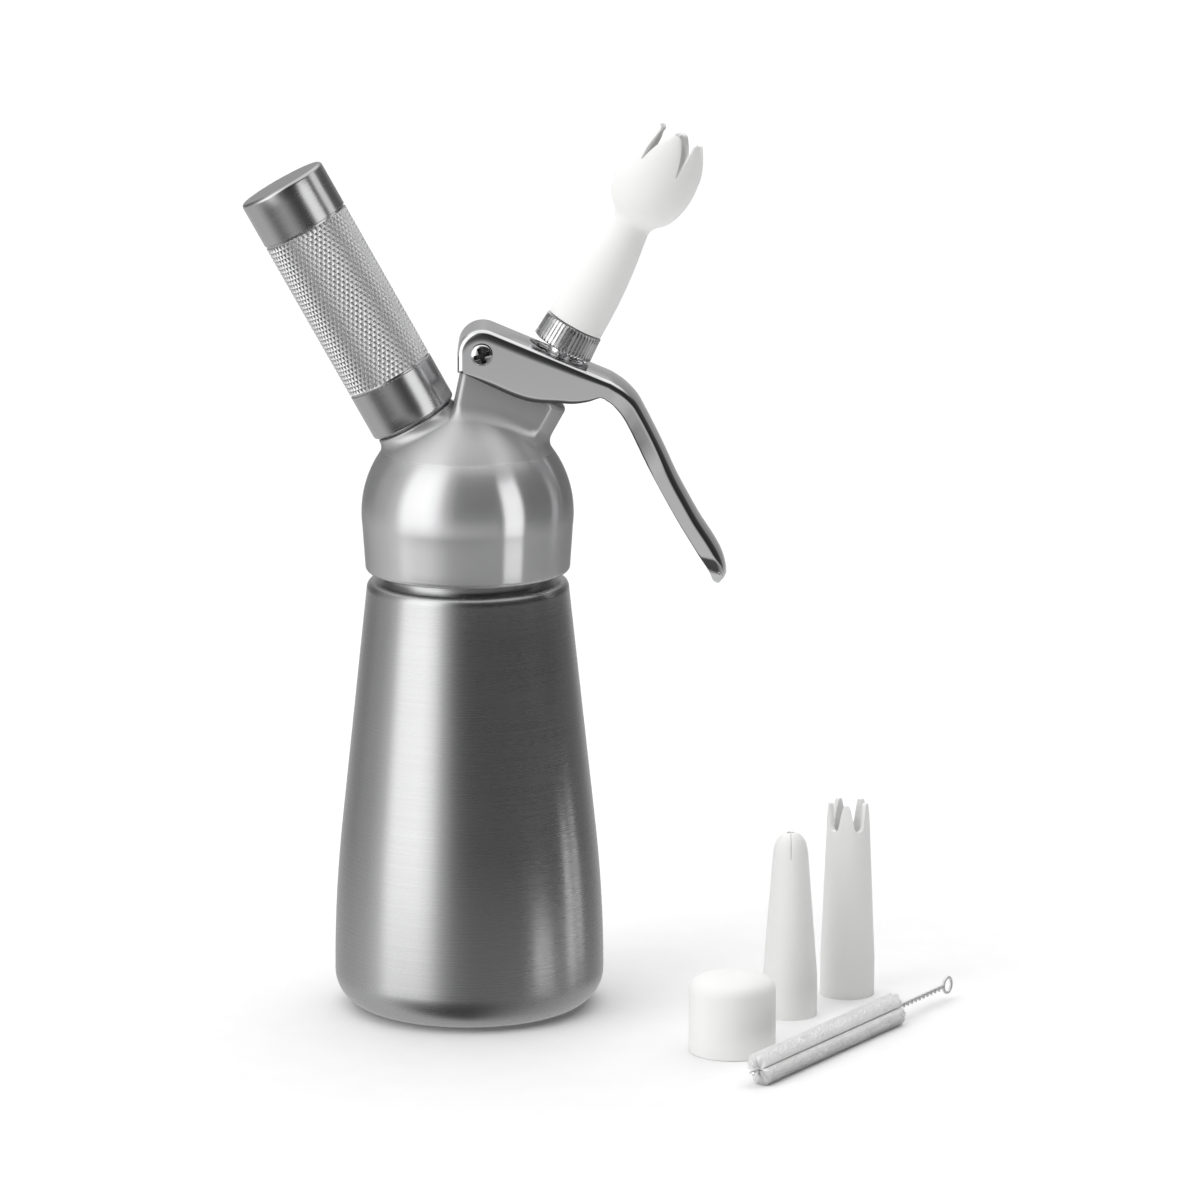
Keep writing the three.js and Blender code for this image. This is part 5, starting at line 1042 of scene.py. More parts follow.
def rounded_slab(outline, half_width, rounding):
    """An outline in the XZ plane, carried across Y, drawn in by rounding (1 - cos a) where it
    turns over at each side; the two sides close to the outline's middle."""
    middle = outline.mean(0)
    ahead = np.roll(outline, -1, 0) - np.roll(outline, 1, 0)
    outward = unit(np.stack([ahead[:, 1], -ahead[:, 0]], -1))
    outward *= np.sign((outward * (outline - middle)).sum())
    rows = []
    turn_over = np.radians(np.linspace(-90, 90, 15))
    side = np.sign(turn_over) * (half_width - rounding)
    for angle, offset in zip(turn_over, side):
        ring = outline - outward * rounding * (1 - math.cos(angle))
        rows.append(np.insert(ring, 1, offset + rounding * math.sin(angle), axis=1))
    first, last = (np.repeat(row.mean(0)[None], len(outline), 0) for row in (rows[0], rows[-1]))
    return grid_patch(np.stack([first, *rows, last]), wrap_columns=True)


def pivot_lug():
    """Upright lug with a round top about the pivot, between the lever's cheeks."""
    head = settings().head
    x, _, z = pivot_point()
    back, front = x - head.lug_radius, x + head.lug_radius
    foot = z - head.step_drop - head.lug_radius
    outline = np.vstack([
        arc((x, z), head.lug_radius, 0, 180, 24),
        line((back, z), (back, foot), 6)[1:],
        line((back, foot), (front, foot), 6)[1:],
        line((front, foot), (front, z), 6)[1:-1],
    ])
    behind_wall = 0.05 * MM  # so that its face and the block's don't coincide
    return rounded_slab(outline, head.block_half_width - behind_wall, head.lug_rounding)


def port_boss():
    """Boss, threaded stub and socket. The fillet's circle touches the boss and the ball: its
    centre lies at boss radius + fillet from the axis and ball radius + fillet from the ball's."""
    head = settings().head
    ball, boss, stub, socket = (
        head.ball_radius, head.boss_radius, head.stub_radius, head.socket_radius)
    fillet, edge = head.boss_fillet, 0.6 * MM
    centre_radius = boss + fillet
    centre_height = math.sqrt((ball + fillet) ** 2 - centre_radius ** 2)
    touch = math.degrees(math.atan2(-centre_height, -centre_radius))
    profile = np.vstack([
        [(0, ball / 2), (centre_radius / 2, ball / 2)],
        arc((centre_radius, centre_height), fillet, touch, -180, 12),
        arc((boss - edge, head.boss_top - edge), edge, 0, 90, 4),
        [(stub, head.boss_top), (stub, head.stub_top - edge), (stub - edge, head.stub_top),
         (socket, head.stub_top), (socket, head.socket_floor), (0, head.socket_floor)],
    ])
    return revolved(profile, BOSS_ROUND, port_frame())


def make_head():
    """Ball, valve block, lug and boss as one piece that overlaps itself inside."""
    piece("head_shell", [ball_and_skirt(), valve_block(), pivot_lug(), port_boss()],
          "head_satin", "head", ("head_casting",), sharp=40)


# Lever

def on_lever(shares):
    """Points in the lever's XZ plane: (share * reach, hub radius - share * drop)."""
    size = settings().lever
    return np.stack([shares[:, 0] * size.reach,
                     size.hub_radius - shares[:, 1] * size.drop], -1)


def lever_lines():
    """The web's outer line and the cheek's lower edge, point by point from the end wall's foot
    to the tip, in the lever's XZ plane. The web line runs up the end wall, round the hub, down
    the flat web and along the handle; station by station the lower edge keeps in step."""
    size = settings().lever
    hub, slope = size.hub_radius, size.slope
    level = np.array([math.cos(slope), math.sin(slope)])
    down = np.array([level[1], -level[0]])
    foot = -level * hub + down * size.end_wall
    wall = line(foot, -level * hub, 5)[:-1]
    drum = arc((0, 0), hub, 180 + math.degrees(slope), 90, 16)[:-1]
    handle = evenly(smooth_curve(on_lever(WEB_LINE_SHARES), 12), 60)
    flat = line((0, hub), handle[0], 30)[:-1]
    web = np.vstack([wall, drum, flat, handle])
    edge = smooth_curve(on_lever(LOWER_EDGE_SHARES), 12)
    lower = np.vstack([line(foot + level * size.corner, edge[0], 16)[:-1], edge])
    return web, lower, len(wall) + len(drum), len(flat)


def outward_normals(path):
    """Left-hand normals of a path that runs from the foot over the hub to the tip."""
    ahead = np.gradient(path, axis=0)
    return unit(np.stack([-ahead[:, 1], ahead[:, 0]], -1))


def matched_edge(web, lower, waist_station):
    """Gives each station of the web line its own point on the lower edge: by share of length, to
    the power of 1.25, up to the waist, and from the waist to the tip by share of length."""
    waist = WEB_LINE_SHARES[0, 0] * settings().lever.reach
    split = int(np.argmin(np.abs(lower[:, 0] - waist) + 10 * (lower[:, 0] < 0)))
    along = length_along(web)
    before = (along[:waist_station + 1] / along[waist_station]) ** 1.25
    after = (along[waist_station:] - along[waist_station]) / (along[-1] - along[waist_station])
    samples = 400
    matched = []
    for part, shares in ((lower[:split + 1], before), (lower[split:], after[1:])):
        index = np.clip((shares * (samples - 1)).astype(int), 0, samples - 1)
        matched.append(evenly(part, samples)[index])
    return np.vstack(matched)


def lever_half_width(web):
    """Full at the hub, less along the handle and drawn in at the nose: times sqrt(1 - 0.8 n^2),
    with n from 0 to 1 over the last fifth of the drop."""
    size = settings().lever
    along = web[:, 0] / size.reach
    drop = (size.hub_radius - web[:, 1]) / size.drop
    narrow_from, narrow_to = 0.44, 0.7
    narrowing = smooth_step(along, narrow_from, narrow_to)
    width = size.half_width + (size.handle_half_width - size.half_width) * narrowing
    nose = np.clip((drop - 0.8) / 0.2, 0, 1)
    return width * np.sqrt(1 - 0.8 * nose ** 2)


def web_crown(web, across, half):
    """Rise of the web: crown times 1 - (y / half)^2, fading in behind the hub."""
    size = settings().lever
    fade = smooth_step(web[:, 0] / size.reach, 0, 0.1)
    return size.crown * fade[:, None] * (1 - (across / half) ** 2)


def slot_ring(web, half, first, last, columns):
    """The web round the stem's slot: straight lines from the points of a rectangle, shared with
    the neighbouring web, to the oblong hole, x = centre + s, |s| up to half its straight part."""
    size = settings().lever
    block = web[first:last + 1]
    span = (half[first:last + 1] - size.corner)[:, None]
    inner = np.linspace(-1, 1, columns)[None] * span
    height = block[:, 1:2] + web_crown(block, inner, span)
    grid = np.stack([np.broadcast_to(block[:, :1], inner.shape), inner, height], -1)
    border = np.vstack([grid[0, :-1], grid[:-1, -1], grid[-1, :0:-1], grid[:0:-1, 0]])
    centre = (slot_centre(), 0)
    straight, radius = (size.slot_length - size.slot_width) / 2, size.slot_width / 2
    ray = unit(border[:, :2] - centre)
    flat_hit = radius / np.maximum(np.abs(ray[:, 1]), 1e-9)
    lean = straight * np.abs(ray[:, 0])
    round_hit = lean + np.sqrt(np.maximum(lean ** 2 - straight ** 2 + radius ** 2, 0))
    distance = np.where(flat_hit * np.abs(ray[:, 0]) <= straight, flat_hit, round_hit)
    hole = ray * distance[:, None] + centre
    rows = [border]
    for step in np.linspace(0, 1, 7)[1:]:
        flat = border[:, :2] * (1 - step) + hole * step
        rise = size.hub_radius + web_crown(flat, flat[:, 1:], half[first] - size.corner)
        rows.append(np.hstack([flat, rise]))
    return np.stack(rows)


def slot_centre():
    """Where the valve axis meets the web, along the web."""
    valve = settings().valve
    top = valve.flange_bottom + valve.flange_rim + valve.flange_dome
    point = valve_frame()((0, 0, top)) - pivot_point()
    slope = settings().lever.slope
    return float(point[0] * math.cos(slope) - point[2] * math.sin(slope))


def make_lever():
    """One pressed sheet: cheek, round corner, crowned web, corner and cheek across, carried from
    the end wall's foot over the hub and along the handle to the turned-in nose."""
    size = settings().lever
    web, lower, head_stations, flat_stations = lever_lines()
    edge = matched_edge(web, lower, head_stations + flat_stations)
    normal = outward_normals(web)
    half = lever_half_width(web)
    corner = size.corner
    columns = []
    for level in np.linspace(1, 0, 9):
        point = (web - normal * corner) * (1 - level) + edge * level
        columns.append(np.stack([point[:, 0], half, point[:, 1]], -1))
    for angle in np.radians(np.linspace(0, 90, 8))[1:]:
        point = web - normal * corner * (1 - math.sin(angle))
        across = half - corner * (1 - math.cos(angle))
        columns.append(np.stack([point[:, 0], across, point[:, 1]], -1))
    side = np.stack(columns, 1)
    web_columns = 21
    across = np.linspace(1, -1, web_columns)[None] * (half - corner)[:, None]
    rise = web_crown(web, across, half[:, None] - corner)
    top = np.stack([web[:, None, 0] + normal[:, None, 0] * rise, across,
                    web[:, None, 1] + normal[:, None, 1] * rise], -1)
    margin_past_slot = 2 * MM
    centre, margin = slot_centre(), size.slot_length / 2 + margin_past_slot
    flat = np.arange(head_stations, head_stations + flat_stations)
    first, last = (int(flat[np.argmin(np.abs(web[flat, 0] - x))])
                   for x in (centre - margin, centre + margin))
    place = lever_frame()
    patches = [
        grid_patch(place(side)),
        grid_patch(place((side * (1, -1, 1))[:, ::-1])),
        grid_patch(place(top[:first + 1])),
        grid_patch(place(top[last:])),
        grid_patch(place(slot_ring(web, half, first, last, web_columns)[::-1]),
                   wrap_columns=True),
    ]
    lever = piece("lever_sheet", patches, "polished_metal", "lever", ("lever",),
                  merge=2e-5, sharp=0, open_sheet=True)
    mesh = lever.data
    work = bmesh.new()
    work.from_mesh(mesh)
    bmesh.ops.recalc_face_normals(work, faces=work.faces)
    highest = max(work.faces, key=lambda face: face.calc_center_median().z)
    if highest.normal.z < 0:
        bmesh.ops.reverse_faces(work, faces=work.faces)
    work.to_mesh(mesh)
    work.free()
    add_sheet(lever, size.sheet, size.edge, 55, even=True)
    mesh.shade_smooth()


def pivot_across(points):
    """Turns (x, depth, z) about the pivot: depth runs towards the front, along -Y."""
    pivot = pivot_point()
    points = np.asarray(points, float)
    return np.stack([points[..., 0] + pivot[0], -points[..., 2], points[..., 1] + pivot[2]], -1)


def make_pivot_screw():
    """Round head with a cross recess: height = dome of the radius, less the recess depth where
    the point lies in one of two crossing bars. The barrel nut is a revolved profile."""
    size = settings().lever
    front, back = size.half_width + size.clearance, -size.half_width - size.clearance
    end = front - size.screw_length
    radius, shank = size.screw_radius, size.screw_shank
    rings = np.concatenate([np.linspace(0, 0.97, 46), [1.0]]) * radius
    angle = full_turn(LARGE_ROUND)
    x, z = rings[:, None] * np.cos(angle), rings[:, None] * np.sin(angle)
    bulge = np.sqrt(np.clip(1 - (rings / radius) ** 2, 0, 1))
    dome = size.screw_height * (0.4 + 0.6 * bulge)[:, None]
    half_width, half_length = size.recess_width / 2, size.recess_length / 2
    cosine, sine = math.cos(size.recess_turn), math.sin(size.recess_turn)
    soft = 0.08 * MM

    def bar(along, across):
        """1 inside a bar, 0 outside, with a soft border."""
        return (smooth_step(-np.abs(along), -half_width - soft, -half_width)
                * smooth_step(-np.abs(across), -half_length - soft, -half_length))

    def cross(x, z):
        """The larger of two bars that cross at right angles."""
        a, b = x * cosine + z * sine, z * cosine - x * sine
        return np.maximum(bar(a, b), bar(b, a))

    top = np.stack([x, z, front + dome - cross(x, z) * size.recess_depth], -1)
    under = np.array([(radius, front), (shank, front), (shank, end), (0, end)])
    skin = np.concatenate([top, turned(under[:, :1], under[:, 1:], angle)])
    screw = piece("screw_head", [grid_patch(pivot_across(skin), wrap_columns=True)],
                  "polished_metal", "head", ("pivot_screw",), sharp=50)
    # Faces deep in the cross get the dark colour: painted shade of the recess, partly dark oxide
    screw.data.materials.append(finish("recess_shade_and_oxide"))
    pivot = pivot_point()
    for face in screw.data.polygons:
        offset = np.array(face.center) - pivot
        if -offset[1] > front and cross(offset[0], offset[2]) > 0.3:
            face.material_index = 1
    inner, nut_front = shank + size.clearance, front - size.clearance
    rounding = 0.5 * MM
    profile = np.vstack([
        [(inner, nut_front), (size.sleeve_radius, nut_front), (size.sleeve_radius, back),
         (size.sleeve_flange, back)],
        arc((size.sleeve_flange - rounding, back - size.sleeve_thickness + rounding), rounding,
            0, -90, 5),
        [(inner, back - size.sleeve_thickness)],
    ])
    sleeve = revolved(profile, PIN_ROUND, pivot_across, wrap_rows=True)
    piece("barrel_nut", [sleeve], "polished_metal", "head", ("pivot_sleeve",))


# Valve and collar

def make_valve():
    """Stem with its domed flange, bushing and spring on the valve axis."""
    size = settings().valve
    place, edge = valve_frame(), 0.3 * MM
    radius, thread, bore = size.stem_radius, size.thread_radius, size.stem_bore
    bottom, top = size.stem_bottom, size.stem_top
    flange, under = size.flange_radius, size.flange_bottom
    rim_top = under + size.flange_rim
    dome_top = rim_top + size.flange_dome
    stem = np.vstack([
        [(0, bottom), (radius - edge, bottom), (radius, bottom + edge), (radius, under)],
        arc((flange - edge, under + edge), edge, -90, 0, 4),
        arc((flange - edge, rim_top - edge), edge, 0, 60, 4),
        bend((flange - edge, rim_top), (flange - size.flange_dome, dome_top),
             (thread, dome_top), 10)[1:],
        [(thread, top - 2 * edge), (thread - 2 * edge, top), (bore, top),
         (bore, size.bore_bottom), (0, size.bore_bottom)],
    ])
    piece("stem_and_flange", [revolved(stem, STEM_ROUND, place)], "smooth_steel", "stem",
          ("valve_stem",))
    hole, outer, pocket = radius + FIT_GAP, size.bushing_radius, size.pocket_radius
    bottom, top, floor = size.bushing_bottom, size.bushing_top, size.pocket_floor
    bushing = [(hole, bottom), (outer, bottom), (outer, top - edge), (outer - edge, top),
               (pocket, top), (pocket, floor), (hole, floor)]
    piece("brass_bushing", [revolved(bushing, STEM_ROUND, place, wrap_rows=True)], "brass",
          "head", ("valve_bushing",))
    make_spring(place)


def make_spring(place):
    """Wire carried along a helix: angle = 2 pi turns t, height from the pocket to the flange."""
    size = settings().valve
    top = size.flange_bottom - FIT_GAP - size.spring_wire
    t = np.linspace(0, 1, 30 * size.spring_turns + 1)
    path = turned(size.spring_radius, size.spring_bottom + (top - size.spring_bottom) * t,
                  2 * np.pi * size.spring_turns * t)
    inward = -path * (1, 1, 0) / size.spring_radius
    rings = wire_rings(path, inward, size.spring_wire, 10)
    spring = piece("coil_spring", [grid_patch(place(rings), wrap_columns=True)], "plain_steel",
                   "head", ("valve_spring",))
    tuple(place((0, 0, size.spring_bottom)))
    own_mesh(spring)


def make_collar():
    """Ribbed ring: radius = taper + depth (2 cos(ribs * angle) + 1.2), cut off at plus and minus
    depth, fading at both rims, with the plain spigot for the nozzle above it."""
    size = settings().valve
    bottom, top = size.collar_bottom, size.collar_bottom + size.collar_height
    low, high = size.collar_low_radius, size.collar_high_radius
    bore, seat, edge = size.thread_radius + FIT_GAP, size.stem_top + FIT_GAP, 0.35 * MM
    spigot_top = top + size.spigot_length
    rib_heights = np.linspace(bottom + edge, top - edge, 5)
    taper = low + (high - low) * (rib_heights - bottom) / size.collar_height
    profile = np.vstack([
        [(bore, bottom, 0), (low - 2 * edge, bottom, 0), (low - edge, bottom, 0)],
        np.stack([taper, rib_heights, np.ones(5)], -1),
        [(high - edge, top, 0), (size.spigot_radius, top, 0), (size.spigot_radius, spigot_top, 0),
         (size.spigot_bore, spigot_top, 0), (size.spigot_bore, seat, 0), (bore, seat, 0)],
    ])
    angle = full_turn(12 * size.collar_ribs)
    wave = np.clip(2 * np.cos(size.collar_ribs * angle) + 1.2, -1, 1)
    radius = profile[:, :1] + profile[:, 2:] * size.rib_depth * wave
    points = valve_frame()(turned(radius, profile[:, 1:2], angle))
    piece("ribbed_collar", [grid_patch(points, True, True)], "bright_steel", "stem",
          ("nozzle_collar",), sharp=50)


# Charger holder

def holder_core():
    """Plain bands, grooves, ends and bore; under the knurl the core runs a little lower."""
    size = settings().holder
    bottom, top, radius, edge = size.bottom, size.top, size.radius, size.edge
    low, high = bottom + size.bottom_band, top - size.top_band
    half, groove, below_knurl = size.groove_width / 2, radius - size.groove_depth, 0.1 * MM
    under = radius - size.knurl_depth - below_knurl
    thread, bore, ceiling = size.thread_bore, size.bore, top - size.end_wall
    profile = np.vstack([
        [(thread, bottom)],
        arc((radius - edge, bottom + edge), edge, -90, 0, 5),
        line((radius, bottom + edge), (radius, low - half), 4)[1:],
        [(groove, low - half / 2), (groove, low + half / 2), (under, low + half),
         (under, high - half), (groove, high - half / 2), (groove, high + half / 2)],
        line((radius, high + half), (radius, top - edge), 4),
        arc((radius - edge, top - edge), edge, 0, 90, 5)[1:],
        line((radius - 2 * edge, top), (0, top), 6),
        [(0, ceiling), (bore, ceiling), (bore, size.thread_end), (thread, size.thread_end)],
    ])
    return revolved(profile, HOLDER_ROUND, port_frame(), wrap_rows=True)


def knurl_span():
    """Heights between which the knurl runs, from groove to groove."""
    size = settings().holder
    return (size.bottom + size.bottom_band + size.groove_width / 2,
            size.top - size.top_band - size.groove_width / 2)


def knurl():
    """Crossed spiral grooves meet in points (i, j) of a staggered lattice. Between four of them
    stands a diamond: its corners lie deep, and four inner points round its middle lie high."""
    size = settings().holder
    low, high = knurl_span()
    starts, rows = size.starts, size.rows
    deep, tall = size.radius - size.knurl_depth, size.radius
    column, row = np.meshgrid(np.arange(starts), np.arange(rows + 1), indexing="ij")

    def point(columns_along, rows_up, radius):
        """A point of the lattice, with its angle and height counted in pitches."""
        height = low + np.clip(rows_up, 0, rows) * ((high - low) / rows)
        return turned(radius, height, columns_along * (2 * np.pi / starts))

    middle_column = column + 0.5 * (row % 2) + 0.5
    flat = size.knurl_flat
    corners, tops = [], []
    for across, up in ((-0.5, 0), (0, -1), (0.5, 0), (0, 1)):
        corners.append(point(middle_column + across, row + up, deep))
        tops.append(point(middle_column + across * flat, row + up * flat, tall))
    quads = [np.stack([corners[k], corners[(k + 1) % 4], tops[(k + 1) % 4], tops[k]], 2)
             for k in range(4)]
    quads.append(np.stack(tops, 2))
    points = port_frame()(np.concatenate([quad.reshape(-1, 3) for quad in quads]))
    return points, np.arange(len(points)).reshape(-1, 4).tolist()


def knurl_ends():
    """Closes the knurl inwards at both ends and along its inside, as one ring of long faces."""
    size = settings().holder
    low, high = knurl_span()
    deep = size.radius - size.knurl_depth
    inside = deep - 0.5 * MM
    return revolved([(deep, low), (inside, low), (inside, high), (deep, high)], 2 * size.starts,
                    port_frame())


def make_holder():
    """Turned body, and round it the knurl as a piece of its own."""
    piece("charger_holder_body", [holder_core()], "holder_turned", "holder",
          ("charger_holder",), sharp=30)
    # The knurl's colour is lighter than the body's: painted brightness for the light its facets
    # catch
    piece("charger_holder_knurl", [knurl(), knurl_ends()], "knurl_aluminium_painted_lighter", "holder",
          ("charger_holder",), merge=2e-6, sharp=12)


# Nozzles and cap

def toothed_wall(outline, teeth, root, notch_width, first_turn, place, columns, tip_round=0.0):
    """A revolved wall whose part above a root height is split into teeth: the angle at column
    c (-1 to 1) of a tooth is its middle + c (pi / teeth - asin(notch width / 2 radius)), and its
    height goes down by tip round * (height above the root)^3 |c|^3."""
    height = outline[:, 1]
    width = np.where(height > root, notch_width(height), 0)
    half_gap = np.arcsin(np.clip(width / (2 * np.maximum(outline[:, 0], 1e-6)), 0, 0.97))
    open_angle = np.pi / teeth - half_gap
    across = np.linspace(-1, 1, columns + 1)
    above = np.clip((height - root) / (height[-1] - root), 0, 1)[:, None]
    drop = tip_round * above ** 3 * np.abs(across[None]) ** 3
    patches = []
    for tooth in range(teeth):
        middle = first_turn - np.pi / 2 + (2 * tooth + 1) * np.pi / teeth
        angle = middle + across[None] * open_angle[:, None]
        patches.append(grid_patch(place(turned(outline[:, :1], height[:, None] - drop, angle))))
    return patches


def slit_shape(root, depth, root_width, tip_width):
    """Width of a slit by height: it grows evenly from root to tip, and ends at the root in a
    half circle, 2 sqrt(r^2 - (r - h)^2) with r half the width and h the height above the root."""
    def width(height):
        rise = (height - root) / depth
        half = (root_width + (tip_width - root_width) * rise) / 2
        return 2 * half * np.sqrt(
            np.clip(1 - (1 - np.clip((height - root) / half, 0, 1)) ** 2, 0, 1))

    return width


def plastic_nozzle(name, patches, wall, body, node, edge):
    """A nozzle from its outer skin: the wall grows inwards and its cut edges are rounded."""
    nozzle = piece(name, patches, "white_plastic", body, (node,), merge=5e-6,
                   sharp=0, open_sheet=True)
    add_sheet(nozzle, wall, edge, 50)


def with_root_rows(outline, root, steps=ROOT_STEPS):
    """Adds close rows just above the slits' root, so that the round root is smooth."""
    height = np.unique(np.concatenate([outline[:, 1], root + steps]))
    return np.stack([np.interp(height, outline[:, 1], outline[:, 0]), height], -1)


def standing_at(box):
    """Moves points to the middle of a box on the table."""
    middle = (box[0] + box[1]) / 2
    return lambda points: points + (middle.x, middle.y, 0)


def make_tulip_nozzle():
    """Fitted nozzle: foot, neck and bulb by shares of their radii, with petals at the tip."""
    size = settings().nozzles
    parts = ((TULIP_BODY_SHARES, size.neck_radius, size.base_radius),
             (TULIP_BULB_SHARES, size.neck_radius, size.bulb_radius),
             (TULIP_TIP_SHARES, size.tip_radius, size.bulb_radius))
    outline = smooth_curve(np.vstack([
        np.stack([low + (high - low) * shares[:, 1], shares[:, 0] * size.tulip_length], -1)
        for shares, low, high in parts]), 5)
    root = size.tulip_length - size.slit_depth
    width = slit_shape(root, size.slit_depth, size.slit_root, size.slit_width)
    place = valve_frame()
    patches = toothed_wall(with_root_rows(outline, root), size.petals, root, width,
                           size.petal_turn, lambda points: place(points + (0, 0, size.seat)),
                           columns=16, tip_round=1.2 * MM)
    plastic_nozzle("tulip_skin", patches, size.petal_wall, "nozzle", "tulip_nozzle",
                   edge=0.4 * MM)


def cone(size, top, steps):
    """Outline of a loose nozzle's straight foot and straight taper."""
    corner = (size.cone_radius, size.cone_foot)
    return np.vstack([[(size.cone_radius, 0)], [corner], line(corner, top, steps)[1:]])


def make_loose_nozzles():
    """Cone with a domed, slit tip, and cone with open notches between its teeth."""
    size = settings().nozzles
    shoulder = (size.star_shoulder, size.star_height - size.star_dome)
    dome = bend(shoulder, (size.star_shoulder * 0.85, size.star_height), (0, size.star_height), 16)
    dome = dome[dome[:, 0] > size.star_hole]
    outline = np.vstack([cone(size, shoulder, 10), dome[1:], [(size.star_hole, dome[-1, 1])]])
    root = size.star_height - size.star_slit_depth
    slit = slit_shape(root, size.star_slit_depth, size.star_slit_width, size.star_slit_width)
    patches = toothed_wall(with_root_rows(outline, root, ROOT_STEPS[:7]), size.star_slits, root,
                           slit, 0.0, standing_at((STAR_LOW, STAR_HIGH)), columns=10)
    plastic_nozzle("star_skin", patches, 1.1 * MM, "star", "star_nozzle", edge=0.15 * MM)
    outline = cone(size, (size.crown_top, size.crown_height), 24)
    root = size.crown_height - size.notch_depth
    notch = slit_shape(root, size.notch_depth, size.notch_root, size.notch_width)
    patches = toothed_wall(with_root_rows(outline, root), size.crown_teeth, root, notch,
                           size.crown_turn, standing_at((CROWN_LOW, CROWN_HIGH)), columns=16,
                           tip_round=0.9 * MM)
    plastic_nozzle("crown_skin", patches, size.petal_wall, "crown", "crown_nozzle",
                   edge=0.3 * MM)


def make_cap():
    """Closing cap: straight wall, round shoulder, and a domed top with a gate mark, whose curve
    leaves the shoulder along its tangent."""
    size = settings().nozzles
    radius, height, corner = size.cap_radius, size.cap_height, size.cap_corner
    slope = size.cap_shoulder
    side_top = height - corner * math.sin(slope) - size.cap_crown
    shoulder = arc((radius - corner, side_top), corner, 0, math.degrees(slope), 12)[1:]
    control = (shoulder[-1][0] - size.cap_crown * math.tan(slope), height)
    inner = radius - size.cap_wall
    ceiling = height - 1.8 * MM
    rounding, gate, gate_depth = 0.5 * MM, 0.9 * MM, 0.15 * MM
    profile = np.vstack([
        arc((inner + rounding, rounding), rounding, 180, 270, 3),
        arc((radius - rounding, rounding), rounding, -90, 0, 4),
        line((radius, rounding), (radius, side_top), 4)[1:],
        shoulder,
        bend(shoulder[-1], control, (gate + 0.3 * MM, height), 12)[1:],
        [(gate, height - gate_depth), (0, height - gate_depth - 0.05 * MM)],
        [(0, ceiling), (inner - corner / 2, ceiling), (inner, ceiling - corner / 2)],
    ])
    cap = revolved(profile, BOSS_ROUND, standing_at((CAP_LOW, CAP_HIGH)), wrap_rows=True)
    piece("cap_shell", [cap], "white_plastic", "cap", ("closing_cap",), sharp=60)


# Brush

def brush_frame():
    """Origin at the brush's tip, x along its wire."""
    size = settings().brush
    cosine, sine = math.cos(size.heading), math.sin(size.heading)
    matrix = np.array([[cosine, -sine, 0], [sine, cosine, 0], [0, 0, 1]])
    shift = np.array([size.tip_x, -size.tip_y, size.axis_height])
    return lambda points: np.asarray(points, float) @ matrix.T + shift


def make_brush():
    """Two wires twisted together, y = r cos a and z = r sin a with a = 2 pi x / pitch, the second
    half a turn behind, and a round loop at the end: a ring of radius R - r sin a."""
    size = settings().brush
    place = brush_frame()
    patches = []
    x = np.linspace(0, size.length, 480)
    for start in (0.0, np.pi):
        outward = turned(1.0, 0 * x, 2 * np.pi * x / size.twist_pitch + start)[:, [2, 0, 1]]
        path = outward * size.wire_radius + x[:, None] * (1, 0, 0)
        rings = wire_rings(path, outward, size.wire_radius, 8)
        rings[..., 0] = np.maximum(rings[..., 0], 0)
        patches.append(grid_patch(place(rings), wrap_columns=True))
    section = full_turn(10)
    reach = size.loop_radius - size.wire_radius * np.sin(section)
    loop = turned(reach, size.wire_radius * np.cos(section), full_turn(48)[:, None])
    loop = loop[..., [0, 2, 1]] * (-1, 1, 1) + (size.length + size.loop_radius, 0, 0)
    patches.append(grid_patch(place(loop), True, True))
    piece("twisted_wire", patches, "satin_wire", "brush", ("brush_wire",), sharp=60)
    make_bristles(place)


def bristle_heart(size):
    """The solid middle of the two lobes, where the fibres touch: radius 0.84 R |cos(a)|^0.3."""
    around = full_turn(120)
    radius = 0.84 * size.bristle_radius * np.abs(np.cos(around)) ** 0.3
    along = size.bristle_start + 0.4 * MM + np.linspace(0, size.bristle_length - 0.8 * MM, 40)
    along = along[[0, *range(40), -1], None]
    scale = np.ones(along.shape)
    scale[[0, -1]] = 0
    rings = turned(scale * np.maximum(radius, size.wire_radius), along,
                   around + size.lobe_angle)[..., [2, 0, 1]]
    rings[..., 2] = np.maximum(rings[..., 2], 0.05 * MM - size.axis_height)
    return grid_patch(rings, wrap_columns=True)


